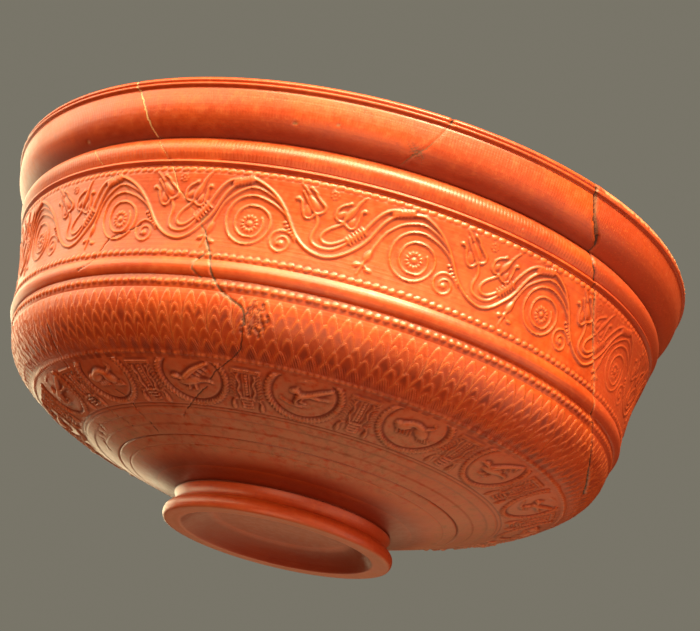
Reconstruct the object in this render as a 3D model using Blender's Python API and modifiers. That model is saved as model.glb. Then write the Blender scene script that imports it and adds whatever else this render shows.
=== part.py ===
"""A terra sigillata bowl: a mould-made, carinated bowl with a scroll frieze and a row of medallions.

The bowl is one turned solid. Its outer side is a run of mouldings and a Bezier curve, its inside
follows at the thickness of the wall, and it stands on a ring foot with a hollow underside. The relief
is laid on the outside by loops over fifteen repeats and joined by Boolean unions. The open joint of
the mended rim sherd and the chips of the lip are cut away.

Frame: metres, +Z up, origin on the bowl's axis at the level of the foot's resting face. Angles round
the bowl run from -Y towards +X.
"""

import math

import bmesh
import bpy
from mathutils import Matrix, Vector

MM = 0.001

# Driving dimensions, in millimetres.
RIM_RADIUS = 125.0
RIM_HEIGHT = 113.7
WALL = 6.2
SEGMENTS = 45
REPEATS = 15

# Lip and upper mouldings, as radius and height.
LIP_GROOVE = (RIM_RADIUS - 1.5, RIM_HEIGHT - 2.8)
OVOLO_END = (RIM_RADIUS - 5.4, RIM_HEIGHT - 12.5)
INNER_CORNER = (RIM_RADIUS - 9.6, RIM_HEIGHT - 16.8)
OVOLO_RISE = 2.9
SECOND_MOULDING_END = (RIM_RADIUS - 8.1, RIM_HEIGHT - 25.5)
SECOND_MOULDING_RISE = 2.4

# Decorated wall between its two rows of beads.
FRIEZE_TOP = (RIM_RADIUS - 8.8, RIM_HEIGHT - 29.2)
FRIEZE_FOOT = (RIM_RADIUS - 13.5, RIM_HEIGHT - 53.0)
BEAD_RADIUS = 1.1

# Central moulding and the carination under it.
BELT_TOP = (RIM_RADIUS - 13.8, RIM_HEIGHT - 55.6)
BELT_FOOT = (RIM_RADIUS - 14.6, RIM_HEIGHT - 62.0)
BELT_RISE = 1.9
CARINATION = (RIM_RADIUS - 16.4, RIM_HEIGHT - 64.7)

# Lower body: a Bezier curve from the carination to the foot.
BODY_HANDLE_HIGH = (RIM_RADIUS - 17.5, 34.8)
BODY_HANDLE_LOW = (86.7, 25.3)
BODY_END = (39.5, 10.6)

# Ring foot and the hollow under it.
FOOT_NECK = (37.7, 9.0)
FOOT_STEP = (38.9, 4.4)
FOOT_ROLL_RADIUS = 1.9
FOOT_REST_OUTER = 40.2
FOOT_REST_INNER = 34.8
RECESS_CORNER = (29.4, 7.0)
RECESS_CENTRE_HEIGHT = 7.9

# Inside: the lip's inner edge and the floor.
LIP_INSIDE = (RIM_RADIUS - 3.6, RIM_HEIGHT - 0.9)
FLOOR_HEIGHT = 14.6
FLOOR_RISE_HEIGHT = 15.6
FLOOR_RISE_RADIUS = 14.0

# Relief: heights above the wall, and how deep each piece is set into it.
SINK = 1.0
STEM_HEIGHT = 1.1
STEM_WIDTH = 2.2
FINE_STEM_WIDTH = 1.5
FINE_STEM_HEIGHT = 0.9

# The scroll, measured from the rosette at the middle of each repeat.
ROSETTE_LEVEL = 70.5
SCROLL_FIRST_ANGLE = -39.3
SCROLL_WIDE_GAP = 26.65
SCROLL_WIDE_AFTER = 1
CREST_RISE = 13.8
TROUGH_DROP = 6.8
SPIRAL_OUTER = 9.0
SPIRAL_INNER = 3.9
SPIRAL_TURNS = 1.55

# The medallions of the lower body, placed by length along its curve from the carination.
MEDALLION_FIRST_ANGLE = -1.0
MEDALLION_AT = 31.4
MEDALLION_RADIUS = 10.2

# The mended joint: angle and height down the outside, from the lip to the lower body.
JOINT_PATH = (
    (35.6, 114.6), (36.6, 110.4), (37.6, 104.0), (40.0, 100.0), (42.2, 95.5), (43.6, 87.0),
    (46.4, 79.0), (49.2, 71.4), (52.4, 63.6), (55.0, 54.0), (58.6, 49.6), (62.8, 43.4),
    (68.0, 39.4), (76.0, 36.6),
)
JOINT_WIDTH = 1.3
JOINT_DEPTH = 1.5
CHIPS = ((38.6, 2.2), (43.5, 1.7), (-74.0, 2.4))


def chord_run(start, end, rise, steps):
    """Points after start up to end, swelling outwards from their chord by rise in a half sine."""
    (r0, z0), (r1, z1) = start, end
    length = math.hypot(r1 - r0, z1 - z0)
    out_r, out_z = (z0 - z1) / length, (r1 - r0) / length
    points = []
    for step in range(1, steps + 1):
        t = step / steps
        swell = rise * math.sin(math.pi * t)
        points.append((r0 + (r1 - r0) * t + out_r * swell, z0 + (z1 - z0) * t + out_z * swell))
    return points


def bead_ridge(level, radius):
    """A small ridge at one level of the wall, where a row of beads runs."""
    return [(radius, level + BEAD_RADIUS), (radius + 0.9, level)]


def bezier(a, b, c, d, t):
    """A point on a cubic Bezier curve."""
    u = 1.0 - t
    weights = (u * u * u, 3 * u * u * t, 3 * u * t * t, t * t * t)
    return tuple(sum(w * p[i] for w, p in zip(weights, (a, b, c, d))) for i in (0, 1))


def body_curve(steps):
    """The lower body from the carination to the foot."""
    return [
        bezier(CARINATION, BODY_HANDLE_HIGH, BODY_HANDLE_LOW, BODY_END, step / steps)
        for step in range(steps + 1)
    ]


def outer_side():
    """The outside of the bowl from the top of the lip to the foot's neck."""
    lip = [(RIM_RADIUS - 1.7, RIM_HEIGHT), (RIM_RADIUS, RIM_HEIGHT - 1.3), LIP_GROOVE]
    ovolo = chord_run(LIP_GROOVE, OVOLO_END, OVOLO_RISE, 4)
    cove = [INNER_CORNER]
    second = chord_run(INNER_CORNER, SECOND_MOULDING_END, SECOND_MOULDING_RISE, 3)
    beads_high = bead_ridge(RIM_HEIGHT - 27.8, FRIEZE_TOP[0] + 0.3)
    frieze = [FRIEZE_TOP, FRIEZE_FOOT]
    beads_low = bead_ridge(RIM_HEIGHT - 54.3, FRIEZE_FOOT[0])
    belt = [BELT_TOP] + chord_run(BELT_TOP, BELT_FOOT, BELT_RISE, 3)
    groove = [(CARINATION[0] + 0.9, CARINATION[1] + 1.0)]
    return lip + ovolo + cove + second + beads_high + frieze + beads_low + belt + groove + body_curve(7)


def foot_side():
    """The ring foot and the hollow under it, from the neck to the axis."""
    roll = []
    for step in range(3):
        turn = math.radians(50 - 50 * step)
        roll.append(
            (
                FOOT_REST_OUTER - 0.9 + FOOT_ROLL_RADIUS * math.cos(turn),
                FOOT_ROLL_RADIUS + 0.3 + FOOT_ROLL_RADIUS * math.sin(turn),
            )
        )
    rest = [(FOOT_REST_OUTER, 0.0), (FOOT_REST_INNER, 0.0)]
    recess = [RECESS_CORNER, (0.0, RECESS_CENTRE_HEIGHT)]
    return [FOOT_NECK, FOOT_STEP] + roll + rest + recess


def inner_side():
    """The inside from the axis up to the lip, at the wall's thickness behind the outside."""
    floor = [(0.0, FLOOR_RISE_HEIGHT), (FLOOR_RISE_RADIUS, FLOOR_HEIGHT)]
    bowl = []
    curve = body_curve(5)
    for before, (r, z), after in zip(curve, curve[1:], curve[2:]):
        dr, dz = after[0] - before[0], after[1] - before[1]
        length = math.hypot(dr, dz)
        bowl.append((r + WALL * dz / length, z - WALL * dr / length))
    shoulder = (CARINATION[0] - WALL, CARINATION[1] + 2.0)
    wall = [shoulder, (FRIEZE_TOP[0] - WALL, FRIEZE_TOP[1])]
    return floor + bowl[::-1] + wall + [(INNER_CORNER[0] - WALL + 1.0, INNER_CORNER[1]), LIP_INSIDE]


def material(name, colour, roughness):
    """A plain Principled material."""
    made = bpy.data.materials.new(name)
    made.use_nodes = True
    shader = made.node_tree.nodes["Principled BSDF"]
    shader.inputs["Base Color"].default_value = (*colour, 1.0)
    shader.inputs["Roughness"].default_value = roughness
    return made


def add_object(name, mesh, collection):
    """An object around a mesh, in a collection."""
    made = bpy.data.objects.new(name, mesh)
    collection.objects.link(made)
    return made


def turned(name, profile, collection):
    """A solid of revolution from a profile given in millimetres."""
    mesh = bpy.data.meshes.new(name)
    vertices = [(r * MM, 0.0, z * MM) for r, z in profile]
    edges = [(i, i + 1) for i in range(len(vertices) - 1)]
    mesh.from_pydata(vertices, edges, [])
    made = add_object(name, mesh, collection)
    screw = made.modifiers.new("turn", "SCREW")
    screw.steps = SEGMENTS
    screw.render_steps = SEGMENTS
    screw.use_merge_vertices = True
    screw.merge_threshold = 0.00001
    screw.use_smooth_shade = True
    return made


class Wall:
    """The outside of the bowl as a surface that relief is laid on."""

    def __init__(self, profile):
        self.profile = profile
        start = profile.index(CARINATION)
        self.lower = profile[start:]

    def by_height(self, height):
        """Radius and slope where the outside reaches a height above the carination."""
        for (r0, z0), (r1, z1) in zip(self.profile, self.profile[1:]):
            if z1 <= height <= z0 and z0 > z1:
                t = (z0 - height) / (z0 - z1)
                return r0 + (r1 - r0) * t, height, (r1 - r0, z1 - z0)
        return self.profile[0][0], height, (0.0, -1.0)

    def by_length(self, length):
        """Radius, height and slope at a length along the lower body."""
        for (r0, z0), (r1, z1) in zip(self.lower, self.lower[1:]):
            step = math.hypot(r1 - r0, z1 - z0)
            if length <= step:
                t = length / step
                return r0 + (r1 - r0) * t, z0 + (z1 - z0) * t, (r1 - r0, z1 - z0)
            length -= step
        return self.lower[-1][0], self.lower[-1][1], (-1.0, -0.3)

    def frame(self, angle, place):
        """Point and outward normal, in metres, at an angle round the bowl."""
        r, z, (dr, dz) = place
        turn = math.radians(angle)
        around = Vector((math.sin(turn), -math.cos(turn), 0.0))
        length = math.hypot(dr, dz)
        normal = around * (-dz / length) + Vector((0.0, 0.0, dr / length))
        return Vector((around.x * r * MM, around.y * r * MM, z * MM)), normal.normalized()

    def on_frieze(self, angle, height):
        return self.frame(angle, self.by_height(height))

    def on_body(self, angle, length):
        return self.frame(angle, self.by_length(length))


def add_ridge(bm, places, width, height, closed=False):
    """A three-sided rib along places on the wall, sunk into it. Each place is a point and its normal."""
    count = len(places)
    rings = []
    for i, (point, normal) in enumerate(places):
        before = places[(i - 1) % count] if closed or i > 0 else places[0]
        after = places[(i + 1) % count] if closed or i < count - 1 else places[-1]
        side = normal.cross(after[0] - before[0]).normalized()
        low = point - normal * SINK * MM
        spread = side * width * 0.5 * MM * (1.0 + SINK / height)
        crest = point + normal * height * MM
        rings.append([bm.verts.new(low + spread), bm.verts.new(crest), bm.verts.new(low - spread)])
    pairs = list(zip(rings, rings[1:])) + ([(rings[-1], rings[0])] if closed else [])
    faces = []
    for one, two in pairs:
        for i in range(3):
            j = (i + 1) % 3
            faces.append(bm.faces.new((one[i], one[j], two[j], two[i])))
    if not closed:
        faces.append(bm.faces.new(rings[0][::-1]))
        faces.append(bm.faces.new(rings[-1]))
    bmesh.ops.recalc_face_normals(bm, faces=faces)


def add_boss(bm, place, half_length, half_width, height, turn=0.0, sides=6):
    """A low oval boss with a smaller flat top, sunk into the wall."""
    point, normal = place
    east = Vector((0.0, 0.0, 1.0)).cross(normal).normalized()
    north = normal.cross(east)
    east, north = (
        east * math.cos(turn) + north * math.sin(turn),
        north * math.cos(turn) - east * math.sin(turn),
    )
    low, high = [], []
    for i in range(sides):
        around = 2.0 * math.pi * i / sides
        reach = east * half_length * math.cos(around) + north * half_width * math.sin(around)
        low.append(bm.verts.new(point + (reach * 1.15 - normal * SINK) * MM))
        high.append(bm.verts.new(point + (reach * 0.55 + normal * height) * MM))
    faces = [bm.faces.new(high), bm.faces.new(low[::-1])]
    for i in range(sides):
        j = (i + 1) % sides
        faces.append(bm.faces.new((low[i], low[j], high[j], high[i])))
    bmesh.ops.recalc_face_normals(bm, faces=faces)


def medallion_angles():
    """The middles of the medallions, evenly spaced."""
    return [MEDALLION_FIRST_ANGLE + 360.0 * i / REPEATS for i in range(REPEATS)]


def scroll_repeats():
    """Each repeat of the scroll as its rosette's angle and the gap to the next, one of them wide."""
    even_gap = (360.0 - SCROLL_WIDE_GAP) / (REPEATS - 1)
    repeats, angle = [], SCROLL_FIRST_ANGLE
    for i in range(REPEATS):
        gap = SCROLL_WIDE_GAP if i == SCROLL_WIDE_AFTER else even_gap
        repeats.append((angle, gap))
        angle += gap
    return repeats


def scroll_wave(wall):
    """The running stem: a rise over each rosette and a dip after it."""
    places = []
    per_repeat = 6
    for angle, gap in scroll_repeats():
        for i in range(per_repeat):
            phase = i / per_repeat
            mean = (CREST_RISE - TROUGH_DROP) / 2.0
            swing = (CREST_RISE + TROUGH_DROP) / 2.0
            height = ROSETTE_LEVEL + mean + swing * math.cos(2.0 * math.pi * phase)
            places.append(wall.on_frieze(angle + gap * phase, height))
    return places


def build_scroll_stem(bm, wall):
    add_ridge(bm, scroll_wave(wall), STEM_WIDTH, STEM_HEIGHT, closed=True)


def build_scroll_spirals(bm, wall):
    """The spiral that curls round each rosette."""
    steps = 8
    degrees_per_mm = math.degrees(1.0 / wall.by_height(ROSETTE_LEVEL)[0])
    for angle, _ in scroll_repeats():
        places = []
        for i in range(steps + 1):
            t = i / steps
            turn = math.radians(55.0 + 360.0 * SPIRAL_TURNS * t)
            reach = SPIRAL_OUTER + (SPIRAL_INNER - SPIRAL_OUTER) * t
            across, up = reach * math.cos(turn), reach * math.sin(turn)
            places.append(wall.on_frieze(angle + across * degrees_per_mm, ROSETTE_LEVEL + up))
        add_ridge(bm, places, FINE_STEM_WIDTH, FINE_STEM_HEIGHT)


def build_scroll_bosses(bm, wall):
    """Rosettes, the two flowers over each trough and the hanging bud."""
    for angle, gap in scroll_repeats():
        add_boss(bm, wall.on_frieze(angle, ROSETTE_LEVEL), 2.4, 2.4, 0.9)
        add_boss(bm, wall.on_frieze(angle + 8.6, ROSETTE_LEVEL + 9.0), 5.0, 2.0, 0.9, math.radians(125), 4)
        add_boss(bm, wall.on_frieze(angle + gap - 9.6, ROSETTE_LEVEL + 8.6), 4.6, 2.0, 0.9, math.radians(68), 4)
        add_boss(bm, wall.on_frieze(angle - 6.9, ROSETTE_LEVEL - 4.0), 3.6, 1.4, 1.0, math.radians(75), 4)


def build_medallion_rings(bm, wall):
    """The round frames of the lower body, open under the row of beads."""
    steps = 7
    degrees_per_mm = math.degrees(1.0 / wall.by_length(MEDALLION_AT)[0])
    for angle in medallion_angles():
        places = []
        for i in range(steps + 1):
            turn = math.radians(140.0 + 260.0 * i / steps)
            across = MEDALLION_RADIUS * math.cos(turn)
            up = MEDALLION_RADIUS * math.sin(turn)
            places.append(wall.on_body(angle + across * degrees_per_mm, MEDALLION_AT - up))
        add_ridge(bm, places, FINE_STEM_WIDTH, FINE_STEM_HEIGHT)


def build_medallion_bodies(bm, wall):
    """A running animal's body in each medallion."""
    for angle in medallion_angles():
        add_boss(bm, wall.on_body(angle - 0.4, MEDALLION_AT + 0.4), 5.2, 2.2, 1.0, math.radians(-14), 5)


def build_medallion_heads(bm, wall):
    """The animals' heads, and the column between each two medallions."""
    for angle in medallion_angles():
        add_boss(bm, wall.on_body(angle - 4.2, MEDALLION_AT - 2.2), 2.1, 1.3, 0.9, math.radians(20), 4)
        column = angle + 180.0 / REPEATS
        shaft = [wall.on_body(column, MEDALLION_AT + along) for along in (-7.0, 10.5)]
        add_ridge(bm, shaft, FINE_STEM_WIDTH, FINE_STEM_HEIGHT)


def build_joint(bm, wall):
    """The open joint of the mended sherd, as a wedge that is cut into the wall."""
    edge_out, edge_in = [], []
    for angle, height in JOINT_PATH:
        if height > CARINATION[1]:
            point, normal = wall.on_frieze(angle, height)
        else:
            point, normal = lower_place(wall, angle, height)
        edge_out.append((point + normal * 4.0 * MM, point - normal * JOINT_DEPTH * MM, normal))
        edge_in.append(point)
    rings = []
    for i, (outer, inner, normal) in enumerate(edge_out):
        along = edge_in[min(i + 1, len(edge_in) - 1)] - edge_in[max(i - 1, 0)]
        side = normal.cross(along).normalized()
        half = side * JOINT_WIDTH * 0.5 * MM * (4.0 + JOINT_DEPTH) / JOINT_DEPTH
        rings.append([bm.verts.new(outer + half), bm.verts.new(inner), bm.verts.new(outer - half)])
    faces = [bm.faces.new(rings[0][::-1]), bm.faces.new(rings[-1])]
    for one, two in zip(rings, rings[1:]):
        for i in range(3):
            j = (i + 1) % 3
            faces.append(bm.faces.new((one[i], one[j], two[j], two[i])))
    bmesh.ops.recalc_face_normals(bm, faces=faces)


def lower_place(wall, angle, height):
    """Point and normal on the lower body at a height."""
    for (r0, z0), (r1, z1) in zip(wall.lower, wall.lower[1:]):
        if z1 <= height <= z0:
            t = (z0 - height) / (z0 - z1)
            return wall.frame(angle, (r0 + (r1 - r0) * t, height, (r1 - r0, z1 - z0)))
    return wall.on_body(angle, 0.0)


def build_chips(bm, wall):
    """Chips out of the lip's outer edge, each cut by a small tilted block."""
    for angle, size in CHIPS:
        point, normal = wall.on_frieze(angle, RIM_HEIGHT - 0.4)
        made = bmesh.ops.create_cube(bm, size=1.0)["verts"]
        turn = math.radians(angle)
        bmesh.ops.scale(bm, verts=made, vec=Vector((size * 2.2, size, size)) * MM)
        bmesh.ops.rotate(bm, verts=made, cent=(0, 0, 0), matrix=Matrix.Rotation(turn + 0.3, 3, "Z"))
        bmesh.ops.translate(bm, verts=made, vec=point + normal * 0.35 * size * MM)


def relief_object(name, build, wall, collection):
    """A helper object that a Boolean joins to or cuts from the bowl."""
    bm = bmesh.new()
    build(bm, wall)
    mesh = bpy.data.meshes.new(name)
    bm.to_mesh(mesh)
    bm.free()
    made = add_object(name, mesh, collection)
    made.hide_render = True
    made.display_type = "WIRE"
    return made


def apply_boolean(bowl, helper, operation):
    """Joins a helper to the bowl, or cuts it away, with the exact solver."""
    boolean = bowl.modifiers.new(helper.name, "BOOLEAN")
    boolean.operation = operation
    boolean.solver = "EXACT"
    boolean.object = helper


def new_collection(name):
    made = bpy.data.collections.new(name)
    bpy.context.scene.collection.children.link(made)
    return made


def main():
    for old in list(bpy.data.objects):
        bpy.data.objects.remove(old, do_unlink=True)
    parts = new_collection("terra_sigillata_bowl")
    helpers = new_collection("relief_and_cutters")

    outer = outer_side()
    wall = Wall(outer)
    bowl = turned("bowl", inner_side() + outer + foot_side(), parts)
    bowl.data.materials.append(material("red_slip", (0.52, 0.12, 0.04), 0.35))

    reliefs = (
        ("scroll_stem", build_scroll_stem),
        ("scroll_spirals", build_scroll_spirals),
        ("scroll_bosses", build_scroll_bosses),
        ("medallion_rings", build_medallion_rings),
        ("medallion_bodies", build_medallion_bodies),
        ("medallion_heads", build_medallion_heads),
    )
    for name, build in reliefs:
        apply_boolean(bowl, relief_object(name, build, wall, helpers), "UNION")
    for name, build in (("mended_joint", build_joint), ("lip_chips", build_chips)):
        apply_boolean(bowl, relief_object(name, build, wall, helpers), "DIFFERENCE")


main()
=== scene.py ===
"""A terra sigillata bowl in its worn red slip, on a plain floor under soft studio light.

The outside of the bowl is built in bands that meet in its turned grooves. Each band is a closed ring:
its outer face carries the relief, and its back lies inside the wall. The relief is worked out as a
height above the turned profile. Stamps are small fields of heights that strokes and bosses are
drawn into, as a potter cuts them, and each band presses its stamps round the bowl. The foot and the
inside are spun from a section.

Lengths are in millimetres until a mesh is made. Angles are in degrees and run from -Y towards +X.
A station is a length along the outside, from the lip's inner edge down to the middle of the recess.
"""

import logging
import math
from dataclasses import dataclass, field
from enum import Enum
from typing import Optional, Sequence

import bpy
import numpy as np
from mathutils import Matrix, Vector


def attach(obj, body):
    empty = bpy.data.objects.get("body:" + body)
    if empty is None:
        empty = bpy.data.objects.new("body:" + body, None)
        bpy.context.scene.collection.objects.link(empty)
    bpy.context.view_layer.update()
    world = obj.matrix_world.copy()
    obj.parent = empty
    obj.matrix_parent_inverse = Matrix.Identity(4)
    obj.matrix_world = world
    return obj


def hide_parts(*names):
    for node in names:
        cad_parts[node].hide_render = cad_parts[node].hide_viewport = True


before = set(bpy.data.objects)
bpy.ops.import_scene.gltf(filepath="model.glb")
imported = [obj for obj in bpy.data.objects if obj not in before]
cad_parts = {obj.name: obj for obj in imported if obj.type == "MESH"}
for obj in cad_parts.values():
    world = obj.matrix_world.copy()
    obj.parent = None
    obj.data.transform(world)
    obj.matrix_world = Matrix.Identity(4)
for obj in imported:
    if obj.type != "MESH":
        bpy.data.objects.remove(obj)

Point = tuple[float, float]
Path = Sequence[Point]
Array = np.ndarray
Fields = dict[str, Array]
Surface = tuple[Array | float, Array | float, Fields]
Socket = bpy.types.NodeSocket

MM = 0.001
RIM_HEIGHT = 113.7
REPEATS = 15
SEED = 29
LOG = logging.getLogger("bowl")


def swell(start: Point, end: Point, rise: float, steps: int) -> list[Point]:
    """Points after start up to end that swell outwards from their chord in a half sine.

    Args:
        start: Radius and height where the moulding starts.
        end: Radius and height where it ends.
        rise: How far it swells, negative for a hollow.
        steps: The number of points.

    Returns:
        The points as radius and height.
    """
    (r0, z0), (r1, z1) = start, end
    length = math.hypot(r1 - r0, z1 - z0)
    out = ((z0 - z1) / length, (r1 - r0) / length)
    points = []
    for step in range(1, steps + 1):
        t = step / steps
        lift = rise * math.sin(math.pi * t)
        points.append((r0 + (r1 - r0) * t + out[0] * lift, z0 + (z1 - z0) * t + out[1] * lift))
    return points


def bezier(ends: Path, steps: int) -> list[Point]:
    """Points on a cubic Bezier curve, its start left out.

    Args:
        ends: The curve's four control points.
        steps: The number of points.

    Returns:
        The points on the curve.
    """
    points = []
    for step in range(1, steps + 1):
        t = step / steps
        u = 1.0 - t
        weights = (u * u * u, 3.0 * u * u * t, 3.0 * u * t * t, t * t * t)
        points.append(tuple(sum(w * p[i] for w, p in zip(weights, ends)) for i in (0, 1)))
    return points


def smooth_path(points: Path, step: float = 0.45) -> Array:
    """A smooth curve through points, as a Catmull-Rom spline.

    Args:
        points: The points that the curve passes.
        step: The length between the points of the result.

    Returns:
        An array of points, one row each.
    """
    knots = np.array(points, dtype=float)
    if len(knots) < 3:
        return knots
    ends = np.vstack([2 * knots[0] - knots[1], knots, 2 * knots[-1] - knots[-2]])
    curve = [knots[:1]]
    for a, b, c, d in zip(ends, ends[1:], ends[2:], ends[3:]):
        count = max(2, int(math.ceil(np.linalg.norm(c - b) / step)))
        t = np.linspace(0.0, 1.0, count + 1)[1:, None]
        curve.append(
            0.5 * (2 * b + (c - a) * t + (2 * a - 5 * b + 4 * c - d) * t**2 + (3 * b - a - 3 * c + d) * t**3)
        )
    return np.vstack(curve)


def ease(value: Array, low: float, high: float) -> Array:
    """0 below low, 1 above high and a smooth step between them."""
    t = np.clip((value - low) / (high - low), 0.0, 1.0)
    return t * t * (3.0 - 2.0 * t)


@dataclass
class Stamp:
    """A potter's stamp: a field of heights in millimetres that strokes and bosses are drawn into.

    What crosses its left or right side comes in again at the other. Slim is the share of their width
    that all its strokes keep.
    """

    left: float
    right: float
    low: float
    high: float
    slim: float = 1.0
    cell: float = 0.09
    heights: Array = field(init=False)

    def __post_init__(self) -> None:
        """Makes the flat field."""
        columns = int(round((self.right - self.left) / self.cell)) + 1
        rows = int(round((self.high - self.low) / self.cell)) + 1
        self.heights = np.zeros((rows, columns))

    def shifts(self) -> tuple[float, ...]:
        """The sideways shifts that a mark is drawn at."""
        width = self.right - self.left
        return -width, 0.0, width

    def window(self, x0: float, x1: float, y0: float, y1: float) -> Optional[tuple]:
        """The cells under a box.

        Args:
            x0: Left side of the box.
            x1: Right side.
            y0: Lower side.
            y1: Upper side.

        Returns:
            Row slice, column slice and the cells' x and y, or None off the stamp.
        """
        rows, columns = self.heights.shape
        c0 = max(0, int((x0 - self.left) / self.cell))
        c1 = min(columns, int((x1 - self.left) / self.cell) + 2)
        r0 = max(0, int((y0 - self.low) / self.cell))
        r1 = min(rows, int((y1 - self.low) / self.cell) + 2)
        if c0 >= c1 or r0 >= r1:
            return None
        x = self.left + np.arange(c0, c1)[None, :] * self.cell
        y = self.low + np.arange(r0, r1)[:, None] * self.cell
        return slice(r0, r1), slice(c0, c1), x, y

    def rib(
        self, points: Path, width: float, height: float, taper: Point = (1.0, 1.0), step: float = 0.45
    ) -> None:
        """Draws a rounded rib along a smooth curve.

        Args:
            points: The points that the curve passes.
            width: Width of the rib.
            height: Height of its crest.
            taper: How much of the width is left at its start and at its end.
            step: The length of the straight runs that it is drawn with.
        """
        width = width * self.slim
        path = smooth_path(points, step)
        share = np.linspace(0.0, 1.0, len(path))
        halves = 0.5 * width * (taper[0] + (taper[1] - taper[0]) * share)
        for (x0, y0), (x1, y1), h0, h1 in zip(path, path[1:], halves, halves[1:]):
            for shift in self.shifts():
                self.rib_run((x0 + shift, y0), (x1 + shift, y1), (h0, h1), width, height)

    def rib_run(self, start: Point, end: Point, halves: Point, width: float, height: float) -> None:
        """Draws one straight run of a rib.

        Args:
            start: Where the run starts.
            end: Where it ends.
            halves: Half its width at either end.
            width: The rib's full width, which its height goes with.
            height: Height of the full rib's crest.
        """
        (x0, y0), (x1, y1) = start, end
        reach = max(halves)
        across = (min(x0, x1) - reach, max(x0, x1) + reach)
        found = self.window(*across, min(y0, y1) - reach, max(y0, y1) + reach)
        if found is None:
            return
        rows, columns, x, y = found
        dx, dy = x1 - x0, y1 - y0
        along = np.clip(((x - x0) * dx + (y - y0) * dy) / max(dx * dx + dy * dy, 1e-9), 0.0, 1.0)
        away = np.hypot(x - x0 - along * dx, y - y0 - along * dy)
        half = halves[0] + (halves[1] - halves[0]) * along
        section = np.clip(1.0 - (away / np.maximum(half, 1e-6)) ** 2, 0.0, 1.0) ** 0.6
        bump = height * section * np.minimum(1.0, (2.0 * half / width)) ** 0.6
        target = self.heights[rows, columns]
        np.maximum(target, bump, out=target)

    def boss(
        self, x: float, y: float, size: Point, height: float, turn: float = 0.0, point: float = 0.0
    ) -> None:
        """Draws a rounded oval boss.

        Args:
            x: Its middle, across.
            y: Its middle, up.
            size: Half its length and half its width.
            height: Height of its crown.
            turn: The angle of its length.
            point: How much narrower it is at the far end of its length, from 0 to 1.
        """
        size = (size[0] * self.slim, size[1] * self.slim)
        reach = max(size) * 1.1
        for shift in self.shifts():
            mid = x + shift
            found = self.window(mid - reach, mid + reach, y - reach, y + reach)
            if found is None:
                continue
            rows, columns, gx, gy = found
            c, s = math.cos(math.radians(turn)), math.sin(math.radians(turn))
            along = ((gx - mid) * c + (gy - y) * s) / size[0]
            across = ((gy - y) * c - (gx - mid) * s) / (size[1] * np.clip(1.0 - point * along, 0.05, 2.0))
            bump = height * np.clip(1.0 - along**2 - across**2, 0.0, 1.0) ** 0.6
            target = self.heights[rows, columns]
            np.maximum(target, bump, out=target)

    def ring(self, radius: float, width: float, height: float) -> None:
        """Draws a round rib about the stamp's origin.

        Args:
            radius: Its radius.
            width: Width of the rib.
            height: Height of its crest.
        """
        turns = np.radians(np.linspace(0, 360, 40))
        self.rib([(radius * math.cos(t), radius * math.sin(t)) for t in turns], width, height)

    def bars(
        self, start: Point, end: Point, count: int, size: Point, height: float, lean: float = 90.0
    ) -> None:
        """Draws a row of short bars across a line, as a binding has them.

        Args:
            start: Middle of the first bar.
            end: Middle of the last bar.
            count: The number of bars.
            size: Length and width of each bar.
            height: Height of its crest.
            lean: The angle between the line and the bars.
        """
        turn = math.atan2(end[1] - start[1], end[0] - start[0]) + math.radians(lean)
        reach = (0.5 * size[0] * math.cos(turn), 0.5 * size[0] * math.sin(turn))
        for i in range(count):
            t = i / max(1, count - 1)
            x, y = start[0] + (end[0] - start[0]) * t, start[1] + (end[1] - start[1]) * t
            self.rib([(x - reach[0], y - reach[1]), (x + reach[0], y + reach[1])], size[1], height)

    def groove(self, radius: float, width: float, depth: float) -> None:
        """Cuts a round groove about the stamp's origin.

        Args:
            radius: Its radius.
            width: Its width.
            depth: Its depth.
        """
        rows, columns = self.heights.shape
        gx = self.left + np.arange(columns)[None, :] * self.cell
        gy = self.low + np.arange(rows)[:, None] * self.cell
        self.heights -= depth * np.exp(-(((np.hypot(gx, gy) - radius) / (0.5 * width)) ** 2))

    def soften(self, cells: int) -> None:
        """Blurs the field a little, as a worn mould does.

        Args:
            cells: How far the blur reaches, in cells.
        """
        for axis in (0, 1):
            total = np.zeros_like(self.heights)
            for shift in range(-cells, cells + 1):
                total += np.roll(self.heights, shift, axis=axis)
            self.heights = total / (2 * cells + 1)

    def at(self, x: Array, y: Array) -> Array:
        """The heights at places, 0 off the stamp.

        Args:
            x: Places across.
            y: Places up.

        Returns:
            The heights there.
        """
        rows, columns = self.heights.shape
        u = (x - self.left) / self.cell
        v = (y - self.low) / self.cell
        inside = (u >= 0) & (u <= columns - 1) & (v >= 0) & (v <= rows - 1)
        u = np.clip(u, 0, columns - 1.001)
        v = np.clip(v, 0, rows - 1.001)
        i, j = v.astype(int), u.astype(int)
        fv, fu = v - i, u - j
        low = self.heights[i, j] * (1 - fu) + self.heights[i, j + 1] * fu
        high = self.heights[i + 1, j] * (1 - fu) + self.heights[i + 1, j + 1] * fu
        return np.where(inside, low * (1 - fv) + high * fv, 0.0)


class Edge(Enum):
    """The places where the bowl's pieces meet, from the lip down."""

    INNER_LIP = "inner lip"
    LIP_FOOT = "lip's foot"
    CORNER = "corner under the ovolo"
    SECOND_END = "foot of the second moulding"
    FILLET_FOOT = "fillet's foot"
    BELT_TOP = "belt's top"
    CARINATION = "carination"
    LEAVES_END = "end of the leaf tips"
    MEDALLIONS_END = "end of the medallions"
    BODY_FOOT = "body's foot"


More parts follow.
